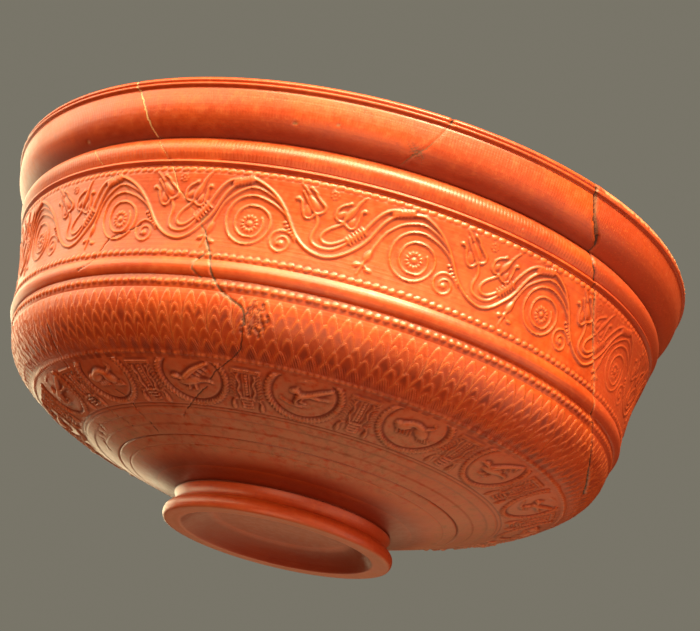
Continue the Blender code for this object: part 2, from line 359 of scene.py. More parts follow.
@dataclass
class Meridian:
    """The turned outside of the bowl, from the lip's inner edge to the middle of the recess.

    The last five sizes say where its pieces meet: two heights, two lengths below the carination and a
    radius.
    """

    lip: Path = (
        (121.4, 112.8), (122.0, 113.5), (123.1, 113.9), (124.2, 113.8), (124.85, 113.3), (125.1, 112.75),
        (125.0, 112.35), (124.6, 112.05), (124.65, 111.85), (125.0, 111.6), (125.05, 111.2),
        (124.8, 110.85), (124.2, 110.6), (123.95, 110.35), (124.1, 110.0),
    )
    ovolo_rise: float = 2.4
    inner_corner: Point = (116.3, 96.9)
    second_end: Point = (117.3, 88.9)
    second_rise: float = 2.2
    fillet: Path = (
        (117.3, 88.75), (117.6, 88.5), (117.7, 88.2), (117.55, 87.9), (117.0, 87.75), (116.4, 87.55),
        (116.15, 87.25), (116.25, 86.95), (116.5, 86.8),
    )
    frieze_top: Point = (116.5, 84.5)
    frieze_foot: Point = (111.7, 60.7)
    belt_top: Point = (111.3, 58.1)
    belt_foot: Point = (110.7, 53.35)
    belt_rise: float = 0.8
    belt_step: Point = (109.8, 52.9)
    carination: Point = (108.9, 49.0)
    body_handles: Path = ((107.7, 34.8), (86.7, 25.3))
    body_end: Point = (39.5, 10.6)
    foot: Path = (
        (38.6, 10.35), (38.0, 10.2), (38.2, 9.95), (38.9, 9.75), (39.05, 9.5), (38.75, 9.2), (38.3, 8.2),
        (38.1, 6.9), (38.3, 5.7), (38.9, 5.05), (39.8, 4.8), (40.3, 4.45), (40.95, 3.6), (41.25, 2.6),
        (41.25, 1.6), (40.9, 0.6), (40.2, 0.0), (37.4, 0.0), (34.9, 0.0), (34.2, 0.3), (31.4, 2.5),
        (27.6, 4.9), (24.6, 6.1), (23.7, 6.15), (23.3, 5.75), (22.8, 5.7), (22.2, 6.2), (20.0, 6.6),
        (10.0, 7.0), (3.0, 7.1), (0.0, 7.1),
    )
    lip_foot: float = 110.3
    fillet_foot: float = 86.85
    leaves_end: float = 23.8
    medallions_end: float = 46.4
    body_foot: float = 46.0
    points: Array = field(init=False)
    stations: Array = field(init=False)

    def __post_init__(self) -> None:
        """Joins the runs into one line and measures along it."""
        run = [tuple(p) for p in smooth_path(self.lip, 0.12)]
        run += swell(run[-1], self.inner_corner, self.ovolo_rise, 38)
        run += swell(run[-1], self.second_end, self.second_rise, 22)
        run += [tuple(p) for p in smooth_path([run[-1], *self.fillet], 0.12)][1:]
        run += swell(run[-1], self.frieze_top, 0.0, 8)
        run += swell(run[-1], self.frieze_foot, -0.8, 40)
        run += swell(run[-1], self.belt_top, 0.0, 5)
        run += swell(run[-1], self.belt_foot, self.belt_rise, 18)
        run += swell(run[-1], self.belt_step, 0.1, 4)
        run += swell(run[-1], self.carination, 0.3, 8)
        run += bezier([self.carination, *self.body_handles, self.body_end], 120)
        run += [tuple(p) for p in smooth_path([run[-1], *self.foot], 0.4)][1:]
        self.points = np.array(run)
        steps = np.linalg.norm(np.diff(self.points, axis=0), axis=1)
        self.stations = np.r_[0.0, np.cumsum(steps)]

    def at(self, stations: Array) -> tuple[Array, Array, Array, Array]:
        """Radius, height and outward normal at stations.

        Args:
            stations: Lengths along the outside.

        Returns:
            Radius, height, and the normal's outward and upward parts.
        """
        def place(s: Array) -> list[Array]:
            """Radius and height at stations."""
            s = np.clip(s, 0.0, self.stations[-1])
            return [np.interp(s, self.stations, part) for part in self.points.T]

        reach = 0.2
        r, z = place(stations)
        r_before, z_before = place(stations - reach)
        r_after, z_after = place(stations + reach)
        dr, dz = r_after - r_before, z_after - z_before
        length = np.maximum(np.hypot(dr, dz), 1e-9)
        return r, z, -dz / length, dr / length

    def by_height(self, height: float) -> float:
        """The station where the outside comes down to a height.

        Args:
            height: The height.

        Returns:
            The station.
        """
        start = int(np.argmax(self.points[:, 1]))
        end = int(np.argmax(self.stations > self.by_radius_below(self.body_end[0])))
        z = self.points[start:end, 1]
        return float(np.interp(-height, -z, self.stations[start:end]))

    def by_radius_below(self, radius: float) -> float:
        """The station where the lower body comes in to a radius.

        Args:
            radius: The radius.

        Returns:
            The station.
        """
        start = int(np.argmin(np.abs(self.points - np.array(self.carination)).sum(axis=1)))
        end = int(np.argmin(np.abs(self.points - np.array(self.body_end)).sum(axis=1))) + 1
        r = self.points[start:end, 0]
        return float(np.interp(-radius, -r, self.stations[start:end]))

    def below_carination(self, length: float) -> float:
        """The station at a length below the carination."""
        return self.by_height(self.carination[1]) + length

    def edge(self, edge: Edge) -> float:
        """The station where two pieces meet.

        Args:
            edge: Which pieces.

        Returns:
            The station.
        """
        levels = {
            Edge.LIP_FOOT: self.lip_foot,
            Edge.CORNER: self.inner_corner[1],
            Edge.SECOND_END: self.second_end[1],
            Edge.FILLET_FOOT: self.fillet_foot,
            Edge.BELT_TOP: self.belt_top[1],
            Edge.CARINATION: self.carination[1],
        }
        if edge in levels:
            return self.by_height(levels[edge])
        if edge is Edge.INNER_LIP:
            return 0.0
        if edge is Edge.BODY_FOOT:
            return self.by_radius_below(self.body_foot)
        return self.below_carination(self.leaves_end if edge is Edge.LEAVES_END else self.medallions_end)


@dataclass(frozen=True)
class Grid:
    """The angles of a piece's columns and the stations of its rows, both rising."""

    angles: Array
    stations: Array

    @property
    def shape(self) -> tuple[int, int]:
        """The number of rows and of columns."""
        return len(self.stations), len(self.angles)

    @property
    def across(self) -> Array:
        """The angles as one row."""
        return self.angles[None, :]

    @property
    def down(self) -> Array:
        """The stations as one column."""
        return self.stations[:, None]

    @property
    def turn(self) -> Array:
        """The angles as one row, in radians."""
        return np.radians(self.angles)[None, :]


@dataclass(frozen=True)
class Break:
    """A crack or open joint, as a line of angles and heights down the outside."""

    line: Path
    half_width: float
    depth: float
    glue: float = 0.0
    dark: float = 0.0


@dataclass
class Damage:
    """Cracks, the mended joint with its sherd, a chewed lip, and rubbed and spalled patches."""

    meridian: Meridian
    joint: Break = Break(
        (
            (35.3, 113.5), (35.6, 111.0), (36.2, 107.6), (36.9, 104.4), (38.4, 101.5), (40.5, 98.6),
            (40.7, 95.2), (41.0, 92.4), (42.2, 90.3), (43.7, 86.6), (45.3, 81.0), (47.3, 75.6),
            (49.2, 70.4), (52.2, 62.7), (54.5, 54.0), (58.0, 49.5), (62.2, 43.4), (67.6, 39.6),
            (76.1, 36.9),
        ),
        0.4, 0.8, 0.0, 1.0,
    )
    joint_glue: Break = Break(
        ((35.7, 113.5), (36.0, 111.0), (36.6, 107.6), (37.2, 104.6), (38.6, 101.9), (39.4, 100.6)),
        0.5, 0.4, 0.3, 0.55,
    )
    joint_gap: Break = Break(((39.7, 100.4), (40.6, 98.4), (40.6, 95.2), (40.9, 93.6)), 0.5, 0.9, 0.0, 1.0)
    joint_specks: Break = Break(
        ((44.2, 86.0), (45.6, 81.0), (47.6, 75.6), (49.5, 70.4), (52.5, 62.7), (54.6, 55.0)), 0.2, 0.2, 0.3
    )
    cracks: Sequence[Break] = (
        Break(
            ((-38.25, 113.8), (-38.0, 111.5), (-36.3, 106.3), (-35.4, 101.2), (-34.6, 97.4)),
            0.32, 0.3, 1.0,
        ),
        Break(
            ((-34.6, 97.4), (-31.9, 91.4), (-30.6, 88.2), (-29.2, 83.6), (-28.3, 79.6), (-26.8, 76.8)),
            0.2, 0.25, 0.7,
        ),
        Break(((-26.8, 76.8), (-25.2, 73.6), (-22.9, 70.0)), 0.16, 0.15, 0.2, 0.5),
        Break(((-48.6, 96.6), (-47.3, 94.7), (-45.7, 91.3), (-44.3, 88.2)), 0.24, 0.2, 0.8),
        Break(((-44.3, 88.2), (-42.5, 84.8), (-40.5, 83.1), (-36.0, 77.0)), 0.16, 0.15, 0.3, 0.5),
        Break(
            ((-34.5, 68.4), (-37.5, 66.3), (-40.5, 64.5), (-42.4, 60.7), (-44.2, 56.6), (-47.1, 54.5)),
            0.16, 0.3, 0.0, 0.9,
        ),
        Break(
            (
                (-22.25, 66.6), (-21.6, 63.5), (-21.0, 60.9), (-20.2, 57.0), (-19.5, 53.0),
                (-17.5, 49.0), (-15.0, 46.4), (-13.4, 44.3), (-13.2, 41.0),
            ),
            0.34, 0.35, 0.3, 0.75,
        ),
        Break(((-22.25, 66.6), (-23.4, 69.5), (-22.6, 72.0)), 0.24, 0.2, 0.3, 0.55),
        Break(((-21.0, 60.9), (-23.2, 55.5), (-21.6, 52.5)), 0.26, 0.25, 0.3, 0.55),
        Break(
            ((10.6, 113.8), (9.9, 109.2), (8.8, 105.0), (7.8, 102.3), (6.5, 100.1), (5.1, 97.6)),
            0.2, 0.25, 0.35, 0.55,
        ),
        Break(((10.6, 113.8), (10.3, 111.4)), 0.34, 0.8, 0.0, 1.0),
        Break(
            (
                (-57.5, 41.5), (-57.7, 37.7), (-58.6, 34.3), (-59.1, 30.4), (-59.6, 27.5), (-59.6, 24.1),
                (-58.2, 21.3), (-56.5, 19.4),
            ),
            0.22, 0.35, 0.0, 0.9,
        ),
        Break(((-49.0, 25.6), (-47.4, 24.1), (-47.6, 20.8), (-47.1, 18.2)), 0.22, 0.35, 0.0, 0.9),
        Break(((-22.0, 26.6), (-24.3, 25.3), (-28.5, 23.0), (-33.0, 20.8)), 0.2, 0.25, 0.0, 0.7),
        Break(((-72.0, 21.6), (-74.7, 20.7), (-83.2, 20.0), (-89.7, 19.0)), 0.24, 0.3, 0.0, 0.8),
        Break(
            ((-13.2, 41.0), (-13.7, 35.0), (-16.2, 32.0), (-18.7, 30.1), (-20.8, 28.0)),
            0.2, 0.25, 0.0, 0.7,
        ),
    )
    nicks: Sequence[tuple[float, float, float]] = (
        (-11.2, 101.5, 0.8), (-5.0, 102.9, 0.6), (-74.0, 112.6, 1.6), (-19.9, 92.2, 0.5), (-49.8, 98.6, 0.9),
        (26.0, 91.2, 0.45), (1.5, 96.4, 0.4), (20.6, 66.0, 0.45),
    )
    sherd_end: float = 112.0
    sherd_foot: float = 37.5
    sherd_out: float = -0.35
    sherd_up: float = 0.5
    sherd_worn: float = 0.45
    spall: Point = (-11.6, 42.6)
    rub: Point = (6.6, 101.0)
    chewed: tuple[float, float, float, float] = (36.6, 37.4, 70.0, 84.0)
    chewed_edge: float = 4.3
    nick_radius: float = 119.0
    spall_radius: float = 106.0
    rub_radius: float = 120.0

    def lines(self) -> list[tuple[Break, Array]]:
        """The breaks with their lines.

        Returns:
            Every break, and its line as angles and stations.
        """
        found = []
        for broken in (self.joint, self.joint_glue, self.joint_gap, self.joint_specks, *self.cracks):
            path = smooth_path([(a, self.meridian.by_height(z)) for a, z in broken.line], 0.9)
            rng = np.random.default_rng(SEED + len(found))
            path[1:-1] += rng.normal(0.0, 1.0, path[1:-1].shape) * np.array([0.06, 0.1])
            found.append((broken, path))
        return found

    def distance(self, path: Array, grid: Grid, reach: float) -> Array:
        """Distance from a grid of places to a line, up to a reach.

        Args:
            path: The line as angles and stations.
            grid: The grid to work it out on.
            reach: The furthest distance that matters.

        Returns:
            The distance at each station and angle, and twice the reach where it is further.
        """
        away = np.full(grid.shape, 2.0 * reach)
        for (a0, s0), (a1, s1) in zip(path, path[1:]):
            radius = float(self.meridian.at(np.array([0.5 * (s0 + s1)]))[0][0])
            per_degree = math.radians(1.0) * max(radius, 1.0)
            margin = reach / per_degree
            c0, c1 = np.searchsorted(grid.angles, (min(a0, a1) - margin, max(a0, a1) + margin))
            r0, r1 = np.searchsorted(grid.stations, (min(s0, s1) - reach, max(s0, s1) + reach))
            if c0 >= c1 or r0 >= r1:
                continue
            x = (grid.angles[None, c0:c1] - a0) * per_degree
            y = grid.stations[r0:r1, None] - s0
            dx, dy = (a1 - a0) * per_degree, s1 - s0
            along = np.clip((x * dx + y * dy) / max(dx * dx + dy * dy, 1e-9), 0.0, 1.0)
            near = np.hypot(x - along * dx, y - along * dy)
            away[r0:r1, c0:c1] = np.minimum(away[r0:r1, c0:c1], near)
        return away

    def sherd(self, grid: Grid) -> Array:
        """How much each place belongs to the sherd right of the joint, from 0 to 1.

        Args:
            grid: The grid to work it out on.

        Returns:
            The share at each station and angle.
        """
        path = self.lines()[0][1]
        edge = np.interp(grid.stations, path[:, 1], path[:, 0])[:, None]
        low = self.meridian.by_height(self.sherd_foot)
        beyond = ease(grid.across - edge, -0.15, 0.25)
        beyond = beyond * (1.0 - ease(grid.across, self.sherd_end - 30.0, self.sherd_end))
        return beyond * (1.0 - ease(grid.down, low - 14.0, low))

    def sherd_rise(self, heights: Array) -> Array:
        """How far the sherd stands up at heights, most at the lip."""
        return self.sherd_up * ease(heights, 50.0, 105.0)

    def spot(self, place: Point, radius: float, grid: Grid) -> tuple[Array, Array]:
        """Distances across and down from a spot on the outside.

        Args:
            place: The spot's angle and height.
            radius: The wall's radius there.
            grid: The grid to work it out on.

        Returns:
            The distance across, as one row, and down, as one column.
        """
        x = (grid.across - place[0]) * math.radians(1.0) * radius
        return x, grid.down - self.meridian.by_height(place[1])

    def mark(self, grid: Grid) -> Fields:
        """Heights taken away and stains left by every break.

        Args:
            grid: The grid to work it out on.

        Returns:
            Fields named cut, seam, glue, gap, bare and sherd. The seam field falls from 1 at a line to 0
            at four times its half width, and the finish draws the line where it is near 1.
        """
        marks = {name: np.zeros(grid.shape) for name in ("cut", "seam", "glue", "gap", "bare")}
        for broken, path in self.lines():
            reach = 4.0 * broken.half_width
            away = self.distance(path, grid, reach + 1.2)
            seam = np.clip(1.0 - away / reach, 0.0, 1.0)
            marks["cut"] = np.maximum(marks["cut"], broken.depth * ease(seam, 0.55, 0.95))
            nearest = (seam > marks["seam"]) | ((away < reach + 1.0) & (marks["seam"] == 0.0))
            marks["glue"] = np.where(nearest, broken.glue, marks["glue"])
            marks["gap"] = np.where(nearest, broken.dark, marks["gap"])
            marks["seam"] = np.maximum(marks["seam"], seam)
        self.chew_lip(marks, grid)
        self.knock_nicks(marks, grid)
        self.flake(marks, grid)
        self.scratch(marks, grid)
        marks["sherd"] = self.sherd(grid)
        return marks

    def chew_lip(self, marks: Fields, grid: Grid) -> None:
        """Wears the sherd's lip to a rough pale edge.

        Args:
            marks: The fields to add to.
            grid: The grid to work it out on.
        """
        turn = grid.across
        rough = 0.5 * np.sin(turn * 1.3) * np.sin(turn * 2.9) + 0.35 * np.sin(turn * 4.7 + np.sin(turn)) + 0.2
        along = ease(turn, *self.chewed[:2]) * (1.0 - ease(turn, *self.chewed[2:]))
        edge = self.chewed_edge + 0.3 * rough
        strip = np.exp(-(((grid.down - edge) / 0.8) ** 2))
        amount = along * np.clip(0.7 + 0.9 * rough, 0.0, 1.0) * strip
        marks["cut"] = np.maximum(marks["cut"], 0.5 * amount)
        marks["bare"] = np.maximum(marks["bare"], np.clip(amount * 1.4, 0.0, 1.0))

    def knock_nicks(self, marks: Fields, grid: Grid) -> None:
        """Knocks small nicks into the surface.

        Args:
            marks: The fields to add to.
            grid: The grid to work it out on.
        """
        for angle, height, size in self.nicks:
            x, y = self.spot((angle, height), self.nick_radius, grid)
            inside = np.clip(1.0 - (x / size) ** 2 - (y / (0.7 * size)) ** 2, 0.0, 1.0)
            marks["cut"] = np.maximum(marks["cut"], 0.4 * size * np.sqrt(inside))
            marks["bare"] = np.maximum(marks["bare"], ease(inside, 0.1, 0.5) * 0.8)

    def flake(self, marks: Fields, grid: Grid) -> None:
        """Flakes the surface away over a small patch beside a crack.

        Args:
            marks: The fields to add to.
            grid: The grid to work it out on.
        """
        x, y = self.spot(self.spall, self.spall_radius, grid)
        rough = 0.35 * np.sin(1.9 * x + 0.7 * y) + 0.3 * np.sin(1.3 * y - 2.3 * x)
        rough = rough + 0.2 * np.sin(3.1 * y + 1.7 * x)
        inside = 1.0 - np.hypot(x / 4.6, y / 6.2) + 0.55 * rough
        patch = ease(inside, 0.15, 0.35) * (np.abs(x) < 9.0) * (np.abs(y) < 10.0)
        crumbs = 0.5 + 0.5 * np.sin(4.3 * x + 2.0 * np.sin(2.9 * y)) * np.sin(3.7 * y + 1.5 * np.sin(3.3 * x))
        marks["cut"] = np.maximum(marks["cut"], patch * (0.25 + 0.3 * crumbs))
        marks["bare"] = np.maximum(marks["bare"], 0.35 * patch * (1.0 - ease(crumbs, 0.2, 0.55)))
        self.stain(marks, patch * ease(crumbs, 0.5, 0.8) > 0.5, 0.75, 0.0)

    def scratch(self, marks: Fields, grid: Grid) -> None:
        """Rubs a patch of fine slanting scratches into the ovolo under the crack in the lip.

        Args:
            marks: The fields to add to.
            grid: The grid to work it out on.
        """
        x, y = self.spot(self.rub, self.rub_radius, grid)
        slant = x * 0.8 + y * 0.6
        across = y * 0.8 - x * 0.6
        patch = np.clip(1.0 - (slant / 5.5) ** 2 - (across / 2.1) ** 2, 0.0, 1.0)
        streak = 0.5 + 0.5 * np.sin(across * 6.1 + 1.3 * np.sin(slant * 1.1))
        marks["cut"] = np.maximum(marks["cut"], 0.3 * patch * streak)
        self.stain(marks, patch * streak > 0.35, 0.5, 0.2)

    def stain(self, marks: Fields, where: Array, gap: float, glue: float) -> None:
        """Fills places with the dirt of a gap and with glue.

        Args:
            marks: The fields to add to.
            where: Whether each place is filled.
            gap: How dark it is.
            glue: How much glue it has.
        """
        for name, value in (("gap", gap), ("glue", glue), ("seam", 1.0)):
            marks[name] = np.where(where, value, marks[name])


def hand_turned(angles: Array, heights: Array) -> tuple[Array, Array]:
    """How far the wall strays from a true circle and a level rim, as thrown and mended clay does.

    Args:
        angles: Angles round the bowl.
        heights: Heights above the foot's resting face.

    Returns:
        The changes of radius and of height.
    """
    turn = np.radians(angles)
    rim = np.clip(heights / RIM_HEIGHT, 0.0, 1.0) ** 2
    sway = rim * (0.5 * np.sin(turn) + 0.16 * np.sin(2.0 * turn + 0.6) + 0.07 * np.sin(5.0 * turn + 2.0))
    lift = ease(heights, 88.0, 112.0) * (0.45 + 0.6 * np.sin(turn + 0.44))
    return sway, lift


class Spread(Enum):
    """How a band's columns are spread round the bowl."""

    EVEN = "even"
    FRONT = "front"


class Weather(Enum):
    """The fields that the finish reads from a piece's mesh."""

    CREST_WEAR_AND_HIGHLIGHT = "crest"
    HOLLOW_SHADE = "hollow"
    SEAM = "seam"
    GLUE = "glue"
    GAP = "gap"
    BARE = "bare"
    SHERD = "sherd"
    DUST = "dust"
    EDGE = "edge"
    COMB = "comb"
    WHEEL = "wheel"
    HATCH = "hatch"


@dataclass
class NodeBench:
    """Short ways to add and join a material's nodes."""

    tree: bpy.types.NodeTree

    def add(self, kind: str) -> bpy.types.Node:
        """A new node of a kind."""
        return self.tree.nodes.new(kind)

    def link(self, start: Socket, end: Socket) -> None:
        """Joins an output to an input."""
        self.tree.links.new(start, end)

    def put(self, socket: Socket, value: object) -> None:
        """Links a socket, or sets a number or colour.

        Args:
            socket: The input.
            value: An output, a number or a colour.
        """
        if isinstance(value, Socket):
            self.link(value, socket)
        elif isinstance(value, tuple):
            socket.default_value = (*value, 1.0)
        else:
            socket.default_value = value

    def field(self, weather: Weather) -> Socket:
        """One of the mesh's own fields.

        Args:
            weather: The field.

        Returns:
            Its value.
        """
        node = self.add("ShaderNodeAttribute")
        node.attribute_name = weather.value
        return node.outputs["Fac"]

    def noise(self, place: Socket, scale: float, detail: float, roughness: float) -> Socket:
        """A noise over the object.

        Args:
            place: The object coordinates.
            scale: How fine it is, per metre.
            detail: Its finer layers.
            roughness: How strong they are.

        Returns:
            Its value.
        """
        node = self.add("ShaderNodeTexNoise")
        node.inputs["Scale"].default_value = scale
        node.inputs["Detail"].default_value = detail
        node.inputs["Roughness"].default_value = roughness
        self.link(place, node.inputs["Vector"])
        return node.outputs["Fac"]

    def ramp(self, value: Socket, low: float, high: float) -> Socket:
        """A smooth step.

        Args:
            value: What it steps with.
            low: Where it is 0.
            high: Where it is 1.

        Returns:
            The step's value.
        """
        node = self.add("ShaderNodeMapRange")
        node.interpolation_type = "SMOOTHSTEP"
        node.inputs["From Min"].default_value = low
        node.inputs["From Max"].default_value = high
        self.link(value, node.inputs["Value"])
        return node.outputs["Result"]

    def math(self, kind: str, *values: object) -> Socket:
        """A sum on one or more values.

        Args:
            kind: The kind of sum.
            values: Outputs or numbers.

        Returns:
            The result.
        """
        node = self.add("ShaderNodeMath")
        node.operation = kind
        for socket, value in zip(node.inputs, values):
            self.put(socket, value)
        return node.outputs[0]

    def multiply(self, first: object, second: object) -> Socket:
        """The product of two values."""
        return self.math("MULTIPLY", first, second)

    def add_up(self, first: object, second: object) -> Socket:
        """The total of two values."""
        return self.math("ADD", first, second)

    def mix(self, share: Socket, one: object, other: object, most: float) -> Socket:
        """One colour turning into another.

        Args:
            share: How far it turns, from 0 to 1.
            one: The first colour.
            other: The second.
            most: The share of the second at full.

        Returns:
            The mixed colour.
        """
        node = self.add("ShaderNodeMix")
        node.data_type = "RGBA"
        self.put(node.inputs[0], self.multiply(share, most))
        self.put(node.inputs[6], one)
        self.put(node.inputs[7], other)
        return node.outputs[2]

    def bump(self, value: Socket, strength: float, depth: float, before: object = None) -> Socket:
        """A bumped normal.

        Args:
            value: The height.
            strength: How strong the bump is.
            depth: Its depth in metres.
            before: A normal that it is added to.

        Returns:
            The normal.
        """
        node = self.add("ShaderNodeBump")
        node.inputs["Strength"].default_value = strength
        node.inputs["Distance"].default_value = depth
        self.link(value, node.inputs["Height"])
        if before is not None:
            self.link(before, node.inputs["Normal"])
        return node.outputs["Normal"]


@dataclass(frozen=True)
class RedSlip:
    """The glossy red slip over a fine clay body, worn, dusty and mended, with painted shade in its hollows
    and corners and a painted highlight on its crests and outlines.
    """

    slip: tuple = (0.46, 0.058, 0.006)
    # Deeper slip, also laid in the wheel's strokes as painted shade.
    slip_deep_and_shade: tuple = (0.33, 0.029, 0.003)
    # Paler worn slip, also laid on crests and outlines as a painted highlight.
    slip_worn_and_lit: tuple = (0.55, 0.115, 0.024)
    # Painted shade: the dark red laid where the hollow field says the relief's hollows and corners fall in
    # shade.
    hollow: tuple = (0.14, 0.009, 0.002)
    sherd: tuple = (0.36, 0.034, 0.004)
    dust: tuple = (0.42, 0.18, 0.11)
    olive: tuple = (0.2, 0.1, 0.05)
    clay: tuple = (0.42, 0.2, 0.095)
    glue: tuple = (0.6, 0.36, 0.17)
    gap: tuple = (0.06, 0.014, 0.006)
    roughness: float = 0.42
    gloss: float = 0.34
    cloud_scale: float = 38.0
    mottle_scale: float = 420.0
    grain_scale: float = 2600.0
    speck_scale: float = 1100.0
    stain_scale: float = 300.0
    turning_scale: float = 900.0
    stroke_depth: float = 0.00007
    mottle_depth: float = 0.00025
    grain_depth: float = 0.00008
    comb_strokes: int = 800
    wheel_strokes: int = 600
    hatch_strokes: int = 760
    hatch_slant: float = 5200.0

    def make(self, name: str) -> bpy.types.Material:
        """The finish as a node material.

        Args:
            name: The material's name.

        Returns:
            The material.
        """
        made = bpy.data.materials.new(name)
        made.use_nodes = True
        tree = NodeBench(made.node_tree)
        place = tree.add("ShaderNodeTexCoord").outputs["Object"]
        shader = made.node_tree.nodes["Principled BSDF"]

        mottle = tree.noise(place, self.mottle_scale, 3.0, 0.6)
        wheel = self.wheel_lines(tree, place)
        outline = tree.ramp(tree.add_up(tree.field(Weather.EDGE), tree.multiply(mottle, 0.2)), 0.72, 0.92)
        strokes = self.rolled_strokes(tree, place)
        sherd, dust = tree.field(Weather.SHERD), tree.field(Weather.DUST)
        specks = tree.ramp(tree.noise(place, self.speck_scale, 2.0, 0.5), 0.6, 0.7)
        dusty = tree.multiply(dust, tree.ramp(mottle, 0.28, 0.55))
        stains = tree.ramp(tree.noise(place, self.stain_scale, 8.0, 0.8), 0.48, 0.64)
        ragged = tree.add_up(tree.field(Weather.SEAM), tree.math("MULTIPLY_ADD", mottle, 0.3, -0.15))
        line = tree.ramp(ragged, 0.7, 0.8)
        coats = (
            (tree.ramp(tree.noise(place, self.cloud_scale, 4.0, 0.6), 0.4, 0.66), self.slip_deep_and_shade, 0.7),
            (tree.ramp(mottle, 0.5, 0.7), self.slip_worn_and_lit, 0.3),
            (tree.ramp(mottle, 0.47, 0.3), self.slip_deep_and_shade, 0.5),
            (tree.ramp(wheel, 0.56, 0.72), self.slip_deep_and_shade, 0.25),
            (sherd, self.sherd, 0.8),
            (tree.multiply(sherd, specks), self.slip_worn_and_lit, 0.5),
            # Painted highlight, with some wear, on the relief's crests.
            (tree.field(Weather.CREST_WEAR_AND_HIGHLIGHT), self.slip_worn_and_lit, 0.55),
            # Painted highlight, with some wear, along the leaf tips' raised outlines.
            (outline, self.slip_worn_and_lit, 0.8),
            # Painted shade in the strokes' grooves.
            (strokes, self.slip_deep_and_shade, 0.3),
            (dusty, self.dust, 0.8),
            (tree.multiply(dust, stains), self.olive, 0.55),
            # Painted shade in the hollows and corners.
            (tree.field(Weather.HOLLOW_SHADE), self.hollow, 0.78),
            (tree.field(Weather.BARE), self.clay, 0.9),
            (tree.multiply(line, tree.field(Weather.GLUE)), self.glue, 1.0),
            (tree.multiply(line, tree.field(Weather.GAP)), self.gap, 1.0),
        )
        colour = self.slip
        for share, coat, most in coats:
            colour = tree.mix(share, colour, coat, most)
        tree.link(colour, shader.inputs["Base Color"])

        matt = tree.multiply(sherd, 0.1)
        worn = tree.ramp(mottle, 0.35, 0.7)
        for share, more in ((dusty, 0.28), (tree.field(Weather.BARE), 0.4), (worn, 0.12)):
            matt = tree.add_up(matt, tree.multiply(share, more))
        tree.link(tree.add_up(matt, self.roughness), shader.inputs["Roughness"])

        shader.inputs["Specular IOR Level"].default_value = 0.5
        shader.inputs["Coat Weight"].default_value = self.gloss
        shader.inputs["Coat Roughness"].default_value = 0.28
        shader.inputs["Coat IOR"].default_value = 1.45

        bump = tree.bump(tree.noise(place, self.grain_scale, 2.0, 0.5), 0.12, self.grain_depth)
        bump = tree.bump(mottle, 0.3, self.mottle_depth, bump)
        bump = tree.bump(wheel, 0.22, self.mottle_depth, bump)
        bump = tree.bump(tree.math("SUBTRACT", outline, strokes), 1.0, self.stroke_depth, bump)
        tree.link(bump, shader.inputs["Normal"])
        return made

    def rolled_strokes(self, tree: NodeBench, place: Socket) -> Socket:
        """The fine strokes of the toothed wheels, and the slanting hatching under the leaf tips.

        Args:
            tree: The material's bench.
            place: The object coordinates.

        Returns:
            A value that is 1 in the middle of a stroke.
        """
        parts = tree.add("ShaderNodeSeparateXYZ")
        tree.link(place, parts.inputs[0])
        turn = tree.math("ARCTAN2", parts.outputs["X"], tree.multiply(parts.outputs["Y"], -1.0))
        total = 0.0
        kinds = (
            (Weather.COMB, self.comb_strokes, 0.0),
            (Weather.WHEEL, self.wheel_strokes, 0.0),
            (Weather.HATCH, self.hatch_strokes, self.hatch_slant),
        )
        for weather, count, slant in kinds:
            phase = tree.math("MULTIPLY_ADD", turn, float(count), tree.multiply(parts.outputs["Z"], slant))
            wave = tree.math("MULTIPLY_ADD", tree.math("COSINE", phase), 0.5, 0.5)
            stroke = tree.multiply(tree.math("POWER", wave, 2.0), tree.field(weather))
            total = tree.add_up(total, stroke)
        return total

    def wheel_lines(self, tree: NodeBench, place: Socket) -> Socket:
        """Fine uneven lines round the bowl, from its turning.

        Args:
            tree: The material's bench.
            place: The object coordinates.

        Returns:
            A value that changes with height and radius alone.
        """
        parts = tree.add("ShaderNodeSeparateXYZ")
        tree.link(place, parts.inputs[0])
        x, y, z = (parts.outputs[axis] for axis in "XYZ")
        around = tree.math("SQRT", tree.add_up(tree.multiply(x, x), tree.multiply(y, y)))
        level = tree.math("SUBTRACT", around, tree.multiply(z, 1.3))
        lines = tree.add("ShaderNodeTexNoise")
        lines.noise_dimensions = "1D"
        lines.inputs["Scale"].default_value = self.turning_scale
        lines.inputs["Detail"].default_value = 3.0
        tree.link(level, lines.inputs["W"])
        return lines.outputs["Fac"]


@dataclass(frozen=True)
class StudioFloor:
    """A plain pale floor that shows from above alone, so that the bowl can be seen from below."""

    colour: tuple = (0.19, 0.2, 0.29)

    def make(self, name: str) -> bpy.types.Material:
        """The floor's material.

        Args:
            name: The material's name.

        Returns:
            The material.
        """
        made = bpy.data.materials.new(name)
        made.use_nodes = True
        tree = NodeBench(made.node_tree)
        shader = made.node_tree.nodes["Principled BSDF"]
        shader.inputs["Base Color"].default_value = (*self.colour, 1.0)
        shader.inputs["Roughness"].default_value = 0.8
        clear = tree.add("ShaderNodeBsdfTransparent")
        side = tree.add("ShaderNodeNewGeometry").outputs["Backfacing"]
        either = tree.add("ShaderNodeMixShader")
        tree.link(side, either.inputs[0])
        tree.link(shader.outputs[0], either.inputs[1])
        tree.link(clear.outputs[0], either.inputs[2])
        tree.link(either.outputs[0], made.node_tree.nodes["Material Output"].inputs["Surface"])
        return made


